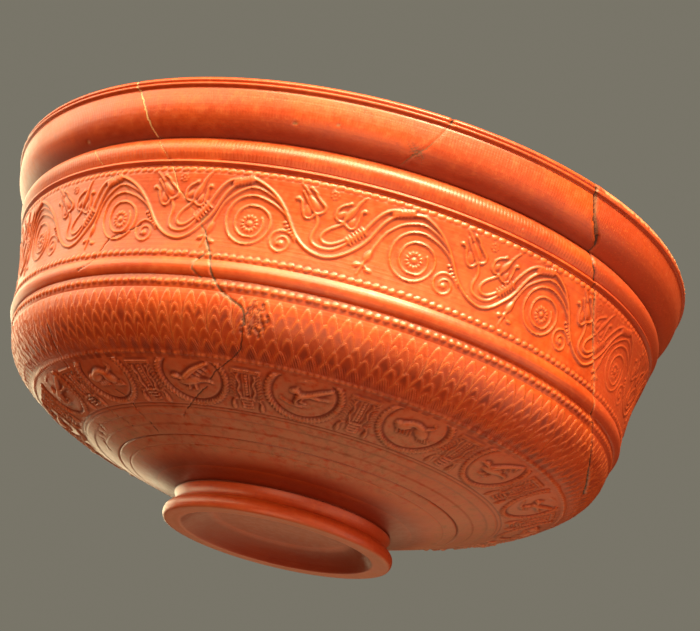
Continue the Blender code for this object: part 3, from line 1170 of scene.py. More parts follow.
@dataclass
class Band:
    """A closed ring of the wall: an outer face with relief, and a back inside the wall."""

    meridian: Meridian
    damage: Damage
    name: str = "band"
    edges: tuple[Edge, Edge] = (Edge.INNER_LIP, Edge.LIP_FOOT)
    row_step: float = 0.5
    columns: int = 720
    spread: Spread = Spread.EVEN
    arc: tuple[float, float] = (-180.0, 180.0)
    thickness: float = 2.4
    softness: float = 1.2
    deep: float = 0.3
    dusty_lengths: tuple[float, float] = (14.0, 40.0)
    start: float = field(init=False)
    end: float = field(init=False)

    def __post_init__(self) -> None:
        """Takes its stations from the outside."""
        self.start, self.end = (self.meridian.edge(edge) for edge in self.edges)

    def relief(self, grid: Grid) -> Array:
        """The height of the relief, in millimetres.

        Args:
            grid: The grid to work it out on.

        Returns:
            A height at each station and angle.
        """
        return np.zeros(grid.shape)

    def dust(self, grid: Grid) -> Array:
        """How dusty each place is, from 0 to 1.

        Args:
            grid: The grid to work it out on.

        Returns:
            The dust at each station and angle.
        """
        low, deep = (self.meridian.below_carination(length) for length in self.dusty_lengths)
        return ease(grid.down, low, deep) * (0.75 + 0.25 * np.sin(grid.turn * 3.0 + 1.0))

    def column_angles(self) -> Array:
        """The columns' angles, closer together at the front where the spread says so.

        Returns:
            The angles, rising.
        """
        even = np.linspace(0.0, 1.0, self.columns + 1)
        if self.spread is Spread.EVEN:
            return self.arc[0] + (self.arc[1] - self.arc[0]) * even
        dense = np.linspace(self.arc[0], self.arc[1], 4001)
        weight = 0.6 + 0.75 * (1.0 - ease(np.abs(dense), 82.0, 110.0))
        share = np.r_[0.0, np.cumsum(0.5 * (weight[1:] + weight[:-1]))]
        return np.interp(even, share / share[-1], dense)

    def row_stations(self) -> Array:
        """The stations of the outer face's rows."""
        count = max(3, int(round((self.end - self.start) / self.row_step)))
        return np.linspace(self.start, self.end, count + 1)

    def closed_round(self) -> bool:
        """Whether the band goes all the way round."""
        return self.arc[1] - self.arc[0] > 359.9

    def blurred(self, heights: Array, grid: Grid) -> Array:
        """The relief with its detail smoothed away.

        Args:
            heights: The relief.
            grid: The grid to work it out on.

        Returns:
            The smoothed relief.
        """
        radius = float(np.mean(self.meridian.at(grid.stations)[0]))
        across = math.radians((grid.angles[-1] - grid.angles[0]) / (len(grid.angles) - 1)) * radius
        down = (grid.stations[-1] - grid.stations[0]) / (len(grid.stations) - 1)
        result = heights
        for axis, spacing in ((0, down), (1, across)):
            reach = max(1, int(round(self.softness / spacing)))
            pad = [(0, 0), (0, 0)]
            pad[axis] = (reach, reach)
            total = np.cumsum(np.pad(result, pad, mode="edge"), axis=axis)
            total = np.moveaxis(np.insert(total, 0, 0.0, axis=axis), axis, 0)
            size = 2 * reach + 1
            result = np.moveaxis((total[size:] - total[:-size]) / size, 0, axis)
        return result

    def build(self) -> bpy.types.Object:
        """Makes the band's mesh with its fields.

        Returns:
            The band's object.
        """
        grid = Grid(self.column_angles(), self.row_stations())
        marks = self.damage.mark(grid)
        sherd = marks["sherd"]
        lift = self.relief(grid) * (1.0 - self.damage.sherd_worn * sherd) - marks["cut"]
        fields = self.weather(lift, marks, grid)

        r, z, out_r, out_z = (part[:, None] for part in self.meridian.at(grid.stations))
        radius = r + out_r * lift + self.damage.sherd_out * sherd
        height = z + out_z * lift + self.damage.sherd_rise(z) * sherd
        sway, rise = hand_turned(grid.across, height)
        radius, height = radius + sway, height + rise

        back_r, back_z = (part[:, None] * np.ones(grid.across.shape) for part in self.back(grid.stations))
        section_r = np.vstack([radius, back_r, radius[:1]])
        section_z = np.vstack([height, back_z, height[:1]])
        across, along = section_r * np.sin(grid.turn), -section_r * np.cos(grid.turn)
        places = np.stack([across, along, section_z], axis=-1) * MM
        for name, values in fields.items():
            fields[name] = np.vstack([values, np.zeros(back_r.shape), values[:1]])
        return self.sheet(places, fields)

    def weather(self, surface: Array, marks: Fields, grid: Grid) -> Fields:
        """The fields that the finish reads, with a painted highlight on the relief's crests and painted shade
        in its hollows.

        Args:
            surface: The outer face's height over the turned profile.
            marks: The marks of the damage.
            grid: The grid to work it out on.

        Returns:
            Each field by name.
        """
        detail = surface - self.blurred(surface, grid)
        fields = {name: marks[name] for name in ("seam", "glue", "gap", "bare", "sherd")}
        # Painted highlight on the relief's crests, with some wear, and painted shade in its hollows.
        fields["crest"] = np.clip(detail / self.deep - 0.25, 0.0, 1.0)
        fields["hollow"] = np.clip(-detail / self.deep - 0.12, 0.0, 1.0)
        fields["dust"] = self.dust(grid)
        for name, values in self.marked(grid).items():
            fields[name] = np.maximum(fields.get(name, 0.0), values)
        return fields

    def marked(self, grid: Grid) -> Fields:
        """Fields of the band's own, such as where a toothed wheel was rolled.

        Args:
            grid: The grid to work it out on.

        Returns:
            Each field by name.
        """
        return {}

    def back(self, stations: Array) -> tuple[Array, Array]:
        """The band's back, from its end up to its start, inside the wall.

        Args:
            stations: The outer face's stations.

        Returns:
            Radii and heights of the back's rows.
        """
        picks = np.linspace(stations[-1], stations[0], 4)
        r, z, out_r, out_z = self.meridian.at(picks)
        return r - out_r * self.thickness, z - out_z * self.thickness

    def sheet(self, places: Array, fields: Fields) -> bpy.types.Object:
        """Lays a grid on the places and closes it into a ring.

        Args:
            places: A place for each row and column, the last row being the first.
            fields: Values for each row and column.

        Returns:
            The object.
        """
        rows, columns = places.shape[:2]
        bpy.ops.object.select_all(action="DESELECT")
        bpy.ops.mesh.primitive_grid_add(x_subdivisions=columns - 1, y_subdivisions=rows - 1, size=2.0)
        piece = bpy.context.object
        piece.name = self.name
        mesh = piece.data
        mesh.name = self.name
        flat = np.empty(len(mesh.vertices) * 3)
        mesh.vertices.foreach_get("co", flat)
        flat = flat.reshape(-1, 3)
        column = np.rint((flat[:, 0] + 1.0) * 0.5 * (columns - 1)).astype(int)
        row = rows - 1 - np.rint((flat[:, 1] + 1.0) * 0.5 * (rows - 1)).astype(int)
        mesh.vertices.foreach_set("co", places[row, column].ravel())
        for name, values in fields.items():
            layer = mesh.attributes.new(name, "FLOAT", "POINT")
            layer.data.foreach_set("value", values[row, column].astype(np.float32))
        mesh.update()
        self.close(piece)
        return piece

    def close(self, piece: bpy.types.Object) -> None:
        """Merges the seams, fills the ends of an arc and smooths the shading.

        Args:
            piece: The band's object.
        """
        bpy.ops.object.mode_set(mode="EDIT")
        bpy.ops.mesh.select_all(action="SELECT")
        bpy.ops.mesh.remove_doubles(threshold=1e-6)
        if not self.closed_round():
            bpy.ops.mesh.select_all(action="DESELECT")
            bpy.ops.mesh.select_non_manifold(extend=False)
            bpy.ops.mesh.fill_holes(sides=0)
        bpy.ops.mesh.select_all(action="SELECT")
        bpy.ops.mesh.normals_make_consistent(inside=False)
        bpy.ops.object.mode_set(mode="OBJECT")
        bpy.ops.object.shade_smooth_by_angle(angle=math.radians(70.0))

    def dress(self, piece: bpy.types.Object, finish: bpy.types.Material) -> None:
        """Gives the piece its finish and joins it to the frame.

        Args:
            piece: The band's object.
            finish: Its material.
        """
        piece.data.materials.clear()
        piece.data.materials.append(finish)
        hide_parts("bowl")
        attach(piece, "root")
        LOG.info("%s: %d vertices, %d faces", piece.name, len(piece.data.vertices), len(piece.data.polygons))


@dataclass(frozen=True)
class BeadRow:
    """A row of beads round the bowl.

    The radius is the wall's there, the size is half a bead's length along the row and half its height,
    and the lean is how far its top leans along the row, over its height.
    """

    radius: float
    count: int
    size: Point
    height: float
    lean: float
    seed: int

    def heights(self, grid: Grid, level: float) -> Array:
        """The beads' relief.

        Args:
            grid: The grid to work it out on.
            level: The station of the beads' middles.

        Returns:
            A height at each station and angle.
        """
        rng = np.random.default_rng(self.seed)
        pitch = 2.0 * math.pi * self.radius / self.count
        shift = rng.normal(0.0, 0.05, self.count)
        rise = rng.normal(0.0, 0.07, self.count)
        scale = 1.0 + rng.normal(0.0, 0.07, self.count)
        up = level - grid.down
        along = (grid.across + 180.0) / 360.0 * self.count - self.lean * up / pitch
        index = np.floor(along).astype(int) % self.count
        x = (along - np.floor(along) - 0.5 + shift[index]) * pitch
        y = up + rise[index]
        bump = np.clip(1.0 - (x / self.size[0]) ** 2 - (y / self.size[1]) ** 2, 0.0, 1.0) ** 0.55
        return self.height * scale[index] * bump


@dataclass
class Lip(Band):
    """The lip with its two fine ridges."""

    name: str = "lip"
    spread: Spread = Spread.FRONT
    full_radius: float = 125.1
    filled: Path = ((4.3, 4.8), (6.6, 7.4))

    def row_stations(self) -> Array:
        """Wide rows on the top, fine ones over the ridges."""
        return np.r_[np.linspace(0.0, 3.0, 6)[:-1], np.linspace(3.0, self.end, 24)]

    def relief(self, grid: Grid) -> Array:
        """The sherd's worn lip, its ridges filled to one round edge.

        Args:
            grid: The grid to work it out on.

        Returns:
            A height at each station and angle.
        """
        hollow = np.clip(self.full_radius - self.meridian.at(grid.stations)[0], 0.0, 0.9)[:, None]
        (upper, lower) = self.filled
        filled = hollow * ease(grid.down, *upper) * (1.0 - ease(grid.down, *lower))
        return self.damage.sherd(grid) * filled * 1.3


@dataclass
class RoulettedBand(Band):
    """A moulding that a toothed wheel was rolled round."""

    rolled: Weather = Weather.WHEEL
    strength: float = 1.0
    upper_edge: float = 0.0
    lower_edge: float = 1.0
    soft_edge: float = 1.0

    def marked(self, grid: Grid) -> Fields:
        """Where the wheel's strokes are, and how deep.

        Args:
            grid: The grid to work it out on.

        Returns:
            Each field by name.
        """
        soft = self.soft_edge
        where = ease(grid.down, self.upper_edge - soft, self.upper_edge + soft)
        where = where * (1.0 - ease(grid.down, self.lower_edge - soft, self.lower_edge + soft))
        worn = 0.75 + 0.25 * np.sin(4.0 * grid.turn + 1.3) * np.sin(9.0 * grid.turn)
        return {self.rolled.value: self.strength * where * worn}


@dataclass
class Ovolo(RoulettedBand):
    """The large rounded moulding under the lip."""

    name: str = "ovolo"
    edges: tuple[Edge, Edge] = (Edge.LIP_FOOT, Edge.CORNER)
    rolled: Weather = Weather.COMB
    strength: float = 0.6
    soft_edge: float = 1.2
    rolled_heights: tuple[float, float] = (108.6, 102.4)

    def __post_init__(self) -> None:
        """Takes its stations from the outside."""
        super().__post_init__()
        self.upper_edge, self.lower_edge = (self.meridian.by_height(z) for z in self.rolled_heights)

    def marked(self, grid: Grid) -> Fields:
        """The wheel's strokes, and painted shade in the corner under the moulding.

        Args:
            grid: The grid to work it out on.

        Returns:
            Each field by name.
        """
        # Painted shade in the corner under the moulding, weaker on the sherd.
        painted_shade = ease(grid.down, self.end - 6.5, self.end - 1.0)
        painted_shade = painted_shade * (1.0 - 0.7 * self.damage.sherd(grid))
        return {**super().marked(grid), "hollow": painted_shade}


@dataclass
class SecondMoulding(RoulettedBand):
    """The lower, sharper rouletted moulding over the frieze."""

    name: str = "second_moulding"
    edges: tuple[Edge, Edge] = (Edge.CORNER, Edge.SECOND_END)
    soft_edge: float = 0.7

    def __post_init__(self) -> None:
        """Takes its stations from the outside."""
        super().__post_init__()
        self.upper_edge = self.start + 1.4
        self.lower_edge = self.end - 0.5

    def marked(self, grid: Grid) -> Fields:
        """The wheel's strokes, and painted shade in the corner over the moulding."""
        # Painted shade in the corner over the moulding.
        painted_shade = 1.0 - ease(grid.down, self.start + 0.3, self.start + 2.2)
        return {**super().marked(grid), "hollow": painted_shade}


@dataclass
class Fillet(Band):
    """The sharp ridge between two grooves over the frieze."""

    name: str = "fillet"
    edges: tuple[Edge, Edge] = (Edge.SECOND_END, Edge.FILLET_FOOT)
    spread: Spread = Spread.FRONT


@dataclass
class ScrollStamp(Stamp):
    """One repeat of the scroll, from a rosette to the next."""

    right: float = 47.9
    left: float = 0.0
    low: float = -11.5
    high: float = 15.6
    slim: float = 0.88
    usual: float = 47.9
    stem_width: float = 1.25
    fine_width: float = 0.82

    def draw(self) -> "ScrollStamp":
        """Draws the whole repeat.

        Returns:
            The stamp itself.
        """
        for part in (self.stems, self.spirals, self.left_flower, self.right_flower, self.bud):
            part()
        self.soften(1)
        return self

    def fit(self, points: Path, near: float, far: float) -> list[Point]:
        """Points shifted by a share of the width that this repeat has over the usual one.

        Args:
            points: The points.
            near: The share in the repeat's left part.
            far: The share in its right part.

        Returns:
            The shifted points.
        """
        extra = self.right - self.usual
        shares = [near + (far - near) * min(1.0, max(0.0, (x - 22.0) / 10.0)) for x, _ in points]
        return [(x + extra * share, y) for (x, y), share in zip(points, shares)]

    def stems(self) -> None:
        """The running stem, the stem beside it, and their bindings."""
        stem = (
            (-2.2, 13.7), (-0.2, 13.8), (2.1, 12.9), (4.7, 11.5), (7.3, 9.5), (9.7, 6.9), (11.5, 4.3),
            (13.0, 1.8), (14.4, -0.4), (16.1, -2.4), (18.4, -4.4), (21.0, -5.7), (24.2, -6.4),
            (27.1, -5.7), (29.7, -4.0), (32.0, -1.8), (34.1, 0.4), (35.9, 3.0), (37.0, 5.3), (38.3, 7.7),
            (39.6, 9.5), (41.3, 11.2), (43.5, 12.7),
        )
        crest = (self.right - 2.0, 13.7)
        self.rib([*self.fit(stem, 0.0, 0.4), crest], self.stem_width, 1.25, (0.85, 0.9))
        beside = (
            (33.4, 4.2), (34.6, 6.6), (35.9, 8.7), (37.2, 10.5), (38.8, 12.1), (40.6, 13.1), (42.6, 13.6),
        )
        self.rib(self.fit(beside, 0.4, 0.4), 1.1, 1.0)
        rise = ((36.3, 0.6), (37.0, 2.2), (37.8, 4.0), (39.0, 6.0), (40.9, 7.9), (43.6, 9.9))
        over = ((46.6, 11.3), (49.4, 11.2), (52.6, 10.0), (55.2, 8.5), (57.9, 6.1), (59.6, 3.6))
        self.rib([*self.fit(rise, 0.7, 0.7), *self.fit(over, 1.0, 1.0)], self.fine_width, 0.95, (1.0, 0.9))
        for i in range(6):
            self.boss(11.2 + 0.8 * i, 2.0 - 1.12 * i + 0.05 * i * i, (0.72, 0.46), 1.25, 24.0)
        (start, end) = self.fit(((41.4, 12.2), (46.6, 13.75)), 0.4, 0.4)
        self.rib((start, end), 2.6, 1.2)
        self.bars(start, end, 6, (2.5, 0.62), 1.35, 62.0)

    def spirals(self) -> None:
        """The spiral round the rosette, the small one beside it, and the rosette."""
        spiral = (
            (12.4, 2.4), (11.0, 4.2), (9.2, 5.6), (6.9, 7.0), (4.4, 8.0), (2.0, 8.7), (-0.3, 8.8),
            (-3.0, 8.2), (-5.4, 6.6), (-7.1, 4.2), (-7.8, 1.4), (-7.5, -1.5), (-6.1, -4.1), (-3.8, -5.8),
            (-1.1, -6.5), (1.6, -6.1), (4.2, -4.6), (6.0, -2.3), (6.7, 0.3), (6.1, 3.0), (4.2, 4.9),
            (1.4, 5.8), (-1.4, 5.5), (-3.6, 3.9), (-4.7, 1.2), (-4.4, -1.5), (-2.6, -3.5), (0.0, -4.2),
            (2.5, -3.6), (4.0, -1.6), (4.3, 0.6), (3.7, 2.4),
        )
        self.rib(spiral, self.fine_width, 1.0, (1.0, 0.85))
        small = (
            (15.4, -3.2), (13.8, -1.5), (11.4, -0.5), (8.9, -1.2), (7.5, -3.4), (8.2, -5.9),
            (10.6, -7.2), (12.9, -6.3), (13.6, -4.3), (12.6, -2.7), (10.9, -2.5), (9.6, -3.7),
            (9.8, -5.0),
        )
        self.rib(small, 0.85, 0.85, (1.0, 0.8))
        self.boss(11.0, -4.6, (1.15, 1.15), 1.0)
        petals = 13
        self.boss(0.0, 0.1, (1.15, 1.15), 0.9)
        for i in range(petals):
            turn = 2.0 * math.pi * i / petals
            x, y = 2.15 * math.cos(turn), 0.1 + 2.15 * math.sin(turn)
            self.boss(x, y, (0.85, 0.42), 0.95, math.degrees(turn), -0.3)

    def left_flower(self) -> None:
        """The left flower: a petal between two curled sepals, and its stalk."""
        self.boss(13.6, 10.1, (1.05, 0.75), 1.0, 15.0)
        lower = ((13.9, 10.0), (14.9, 9.4), (15.4, 7.4), (16.5, 4.9), (18.1, 4.4), (19.2, 5.4), (19.8, 6.4))
        self.rib(lower, 0.85, 0.95)
        self.boss(17.1, 6.9, (2.2, 1.15), 0.75, -72.0, -0.5)
        self.rib(((14.8, 12.4), (16.3, 10.3), (18.1, 7.8), (19.7, 6.3)), 0.7, 0.95)
        self.rib(((13.7, 15.0), (15.2, 13.6), (16.6, 12.1)), 1.1, 0.9, (0.5, 1.0))
        self.boss(18.4, 9.5, (3.4, 1.25), 1.1, -52.0, -0.55)
        self.boss(17.1, 13.7, (0.85, 0.7), 1.0, -40.0)
        upper = (
            (17.5, 13.4), (18.7, 12.6), (19.5, 11.3), (21.0, 10.0), (22.3, 8.8), (22.3, 7.4),
            (21.1, 6.5), (19.9, 6.3),
        )
        self.rib(upper, 0.85, 0.95)
        stalk = (
            (20.0, 6.2), (20.8, 4.2), (20.9, 2.4), (20.3, 0.1), (20.2, -1.6), (20.9, -2.9), (22.6, -3.7),
            (24.8, -3.9), (27.0, -3.2), (28.8, -1.7), (30.0, -0.3),
        )
        self.rib(self.fit(stalk, 0.0, 0.35), 1.0, 0.85)

    def right_flower(self) -> None:
        """The right flower, its stalk, the stalks' binding, and the dotted star."""
        def rib(points: Path, width: float, height: float, taper: Point = (1.0, 1.0)) -> None:
            """Draws a rib of the flower."""
            self.rib(self.fit(points, 0.16, 0.16), width, height, taper)

        def boss(x: float, y: float, size: Point, height: float, turn: float, point: float = 0.0) -> None:
            """Draws a boss of the flower."""
            self.boss(*self.fit(((x, y),), 0.16, 0.16)[0], size, height, turn, point)

        rib(((33.3, 14.7), (32.1, 13.3), (31.0, 11.6)), 1.1, 0.9, (0.5, 1.0))
        boss(29.7, 9.0, (3.7, 1.15), 1.1, 60.0, 0.55)
        rib(((30.9, 11.3), (29.6, 9.0), (28.4, 6.6), (28.0, 5.6)), 0.6, 1.15)
        boss(33.5, 10.4, (1.0, 0.75), 1.0, -10.0)
        right = (
            (33.3, 10.3), (32.6, 9.9), (32.5, 8.2), (32.1, 6.1), (31.5, 4.5), (30.1, 4.1), (28.7, 4.9),
            (28.1, 5.5),
        )
        rib(right, 0.85, 0.95)
        boss(30.6, 6.2, (1.9, 1.05), 0.8, 70.0, 0.45)
        boss(28.9, 11.6, (0.8, 0.65), 0.95, 20.0)
        left = ((28.5, 11.3), (26.7, 10.4), (25.5, 9.2), (25.2, 7.8), (25.1, 6.6), (26.2, 5.7), (27.6, 5.4))
        rib(left, 0.8, 0.95)
        boss(26.8, 7.7, (1.9, 1.0), 0.8, 45.0, 0.4)
        stalk = (
            (27.7, 5.0), (26.4, 3.9), (24.7, 2.6), (23.3, 0.9), (22.9, -0.7), (23.8, -1.9), (25.7, -2.0),
            (27.6, -1.0), (29.2, 0.3), (30.2, 1.2),
        )
        self.rib(self.fit(stalk, 0.0, 0.35), 1.0, 0.85)
        (start, end) = self.fit(((29.9, 0.3), (33.7, 4.5)), 0.35, 0.35)
        self.rib((start, end), 2.1, 0.95)
        self.bars(start, end, 6, (2.7, 0.6), 1.25)
        ((x, y),) = self.fit(((23.9, 12.9),), 0.1, 0.1)
        self.boss(x, y, (0.5, 0.5), 0.8)
        dots = 7
        for i in range(dots):
            turn = 2.0 * math.pi * i / dots
            self.boss(x + 1.05 * math.cos(turn), y + 1.05 * math.sin(turn), (0.46, 0.36), 0.8)

    def bud(self) -> None:
        """The bud that hangs from the foot of the second arc."""
        (top, body, neck, left, right, tip) = self.fit(
            ((36.4, 0.9), (35.3, -2.2), (34.1, -5.2), (32.3, -5.9), (36.2, -6.9), (33.0, -8.8)), 0.7, 0.7
        )
        self.boss(*body, (2.6, 1.2), 1.25, 68.0, 0.3)
        self.rib((top, body, neck), 0.9, 0.95)
        self.boss(*left, (1.3, 0.95), 1.05, 25.0)
        self.boss(*right, (1.45, 0.75), 1.0, -8.0)
        self.rib((neck, right), 0.6, 0.8)
        self.rib((neck, left), 0.6, 0.8)
        self.rib((neck, tip), 1.05, 1.0, (1.0, 0.5))


@dataclass
class ScrollFrieze(Band):
    """The decorated wall between its two rows of beads: stems, spirals, flowers and buds."""

    name: str = "scroll_frieze"
    edges: tuple[Edge, Edge] = (Edge.FILLET_FOOT, Edge.BELT_TOP)
    rosette_level: float = 70.5
    first_angle: float = -39.2
    wide_gap: float = 26.2
    wide_after: int = 1
    relief_scale: float = 0.5
    deep: float = 0.22
    upper_height: float = 85.85
    upper_beads: BeadRow = BeadRow(116.5, 275, (1.36, 0.98), 0.44, 0.45, SEED + 3)
    lower_height: float = 59.45
    lower_beads: BeadRow = BeadRow(111.7, 266, (1.22, 0.9), 0.47, 0.35, SEED + 5)

    def even_gap(self) -> float:
        """The angle between two rosettes in the even repeats."""
        return (360.0 - self.wide_gap) / (REPEATS - 1)

    def relief(self, grid: Grid) -> Array:
        """The scroll with its two rows of beads.

        Args:
            grid: The grid to work it out on.

        Returns:
            A height at each station and angle.
        """
        level = self.meridian.by_height(self.rosette_level)
        up = (level - grid.stations)[:, None]
        heights = np.zeros(grid.shape)
        even = ScrollStamp().draw()
        wide = ScrollStamp(right=even.usual * self.wide_gap / self.even_gap()).draw()
        edge = self.first_angle
        while edge > -180.0:
            edge -= self.even_gap()
        number = -int(round((self.first_angle - edge) / self.even_gap()))
        while edge < grid.angles[-1]:
            is_wide = number % REPEATS == self.wide_after
            gap = self.wide_gap if is_wide else self.even_gap()
            stamp = wide if is_wide else even
            c0, c1 = np.searchsorted(grid.angles, (edge, edge + gap))
            if c1 > c0:
                x = (grid.angles[None, c0:c1] - edge) / gap * stamp.right
                sway = 0.22 * np.sin(x / 7.0 + number * 1.7) * np.sin(np.pi * x / stamp.right)
                slip = 0.15 * np.sin(up / 5.0 + number * 2.3) * np.sin(np.pi * x / stamp.right)
                heights[:, c0:c1] = stamp.at(x + slip, up + sway)
            edge += gap
            number += 1
        heights *= self.relief_scale
        for beads, height in ((self.upper_beads, self.upper_height), (self.lower_beads, self.lower_height)):
            heights = np.maximum(heights, beads.heights(grid, self.meridian.by_height(height)))
        return heights


@dataclass
class BeltMoulding(Band):
    """The plain belt moulding and the row of beads on the carination."""

    name: str = "belt_moulding"
    edges: tuple[Edge, Edge] = (Edge.BELT_TOP, Edge.CARINATION)
    deep: float = 0.18
    bead_height: float = 50.9
    beads: BeadRow = BeadRow(109.4, 256, (1.16, 0.85), 0.5, 0.15, SEED + 7)

    def relief(self, grid: Grid) -> Array:
        """The beads, and faint lines from turning on the belt.

        Args:
            grid: The grid to work it out on.

        Returns:
            A height at each station and angle.
        """
        level = self.meridian.by_height(self.bead_height)
        lines = 0.03 * np.sin(grid.down * 4.1) * (grid.down < level - 1.8)
        return self.beads.heights(grid, level) + lines


@dataclass
class LeafTips(Band):
    """Rows of overlapping leaf tips under the carination, a hatched fringe and a row of small beads."""

    name: str = "leaf_tips"
    edges: tuple[Edge, Edge] = (Edge.CARINATION, Edge.LEAVES_END)
    deep: float = 0.2
    rows: Sequence[tuple[float, int]] = ((0.7, 164), (4.2, 156), (7.7, 148), (11.4, 142), (15.6, 136))
    apex_length: float = 4.4
    fullness: float = 0.62
    line_reach: float = 0.6
    beads_at: float = 21.6
    beads: BeadRow = BeadRow(96.6, 300, (1.02, 0.62), 0.4, 0.3, SEED + 13)

    def leaves(self, grid: Grid) -> tuple[Array, Array]:
        """The leaf tips row over row.

        Args:
            grid: The grid to work it out on.

        Returns:
            Their height, and the distance from the nearest outline that shows.
        """
        down = (grid.stations - self.start)[:, None]
        radius = self.meridian.at(grid.stations)[0][:, None]
        surface = np.zeros(grid.shape)
        near = np.full(surface.shape, 9.0)
        rng = np.random.default_rng(SEED + 11)
        for number, (apex, count) in enumerate(self.rows):
            shift = rng.normal(0.0, 0.07, count)
            drop = rng.normal(0.0, 0.3, count) * (number > 0)
            fuller = 1.0 + rng.normal(0.0, 0.06, count)
            phase = (grid.across + 180.0) / 360.0 * count + 0.5 * number
            index = np.floor(phase).astype(int) % count
            pitch = 2.0 * math.pi * radius / count
            x = (phase - np.floor(phase) - 0.5 + shift[index]) * pitch
            depth = down - apex - drop[index]
            half = 0.48 * pitch * fuller[index]
            share = np.clip(depth / self.apex_length, 0.0, 1.0)
            slope = self.fullness * half / self.apex_length / np.maximum(share, 0.02) ** (1.0 - self.fullness)
            slope = np.where((share > 0.0) & (share < 1.0), slope, 0.0)
            edge = (half * share**self.fullness - np.abs(x)) / np.hypot(1.0, slope)
            edge = np.where(depth > 0.0, edge, -np.hypot(x, depth))
            inside = edge > 0.0
            thick = 0.06 + 0.26 * np.exp(-np.maximum(depth, 0.0) / 2.6)
            rim = 0.13 * np.exp(-(((edge - 0.3) / 0.19) ** 2))
            leaf = thick * (1.0 - np.exp(-np.maximum(edge, 0.0) / 0.12)) + rim
            surface = np.where(inside, leaf, surface)
            near = np.where(inside, edge, np.minimum(near, -edge))
        return surface, near

    def relief(self, grid: Grid) -> Array:
        """The leaf tips, and the row of small beads under them.

        Args:
            grid: The grid to work it out on.

        Returns:
            A height at each station and angle.
        """
        down = (grid.stations - self.start)[:, None]
        surface = self.leaves(grid)[0] * (1.0 - ease(down, 18.4, 20.2))
        return np.maximum(surface, self.beads.heights(grid, self.meridian.below_carination(self.beads_at)))

    def marked(self, grid: Grid) -> Fields:
        """The leaves' thin outlines, painted paler as a highlight, the hatched fringe at their lower ends,
        and painted shade between the outlines.

        Args:
            grid: The grid to work it out on.

        Returns:
            Each field by name.
        """
        down = (grid.stations - self.start)[:, None]
        near = self.leaves(grid)[1]
        # Outlines painted paler: a painted highlight along the raised rims, with some wear.
        lines = np.clip(1.0 - near / self.line_reach, 0.0, 1.0) * (1.0 - ease(down, 18.0, 19.6))
        tufts = 0.6 + 0.4 * np.sin(2.0 * math.pi * grid.across / 2.65 + 0.2 * down)
        hatch = 2.4 * ease(down, 15.4, 17.2) * (1.0 - ease(down, 20.2, 20.8)) * tufts
        turn = grid.turn
        # Painted shade between the outlines, patchy round the bowl and weaker just under the carination.
        dark = 0.5 + 0.3 * np.sin(turn * 5.0 + 0.5 * down) + 0.2 * np.sin(turn * 17.0 - 0.7 * down)
        dark = 0.95 * np.clip(dark, 0.0, 1.0) * ease(down, 1.5, 8.0) * np.clip((near - 0.45) / 0.5, 0.0, 1.0)
        return {"edge": lines, "hatch": hatch, "hollow": dark}


class Creature(Enum):
    """The animals in the medallions."""

    LEAPING = "leaping"
    CROUCHING = "crouching"
    BIRD = "bird"


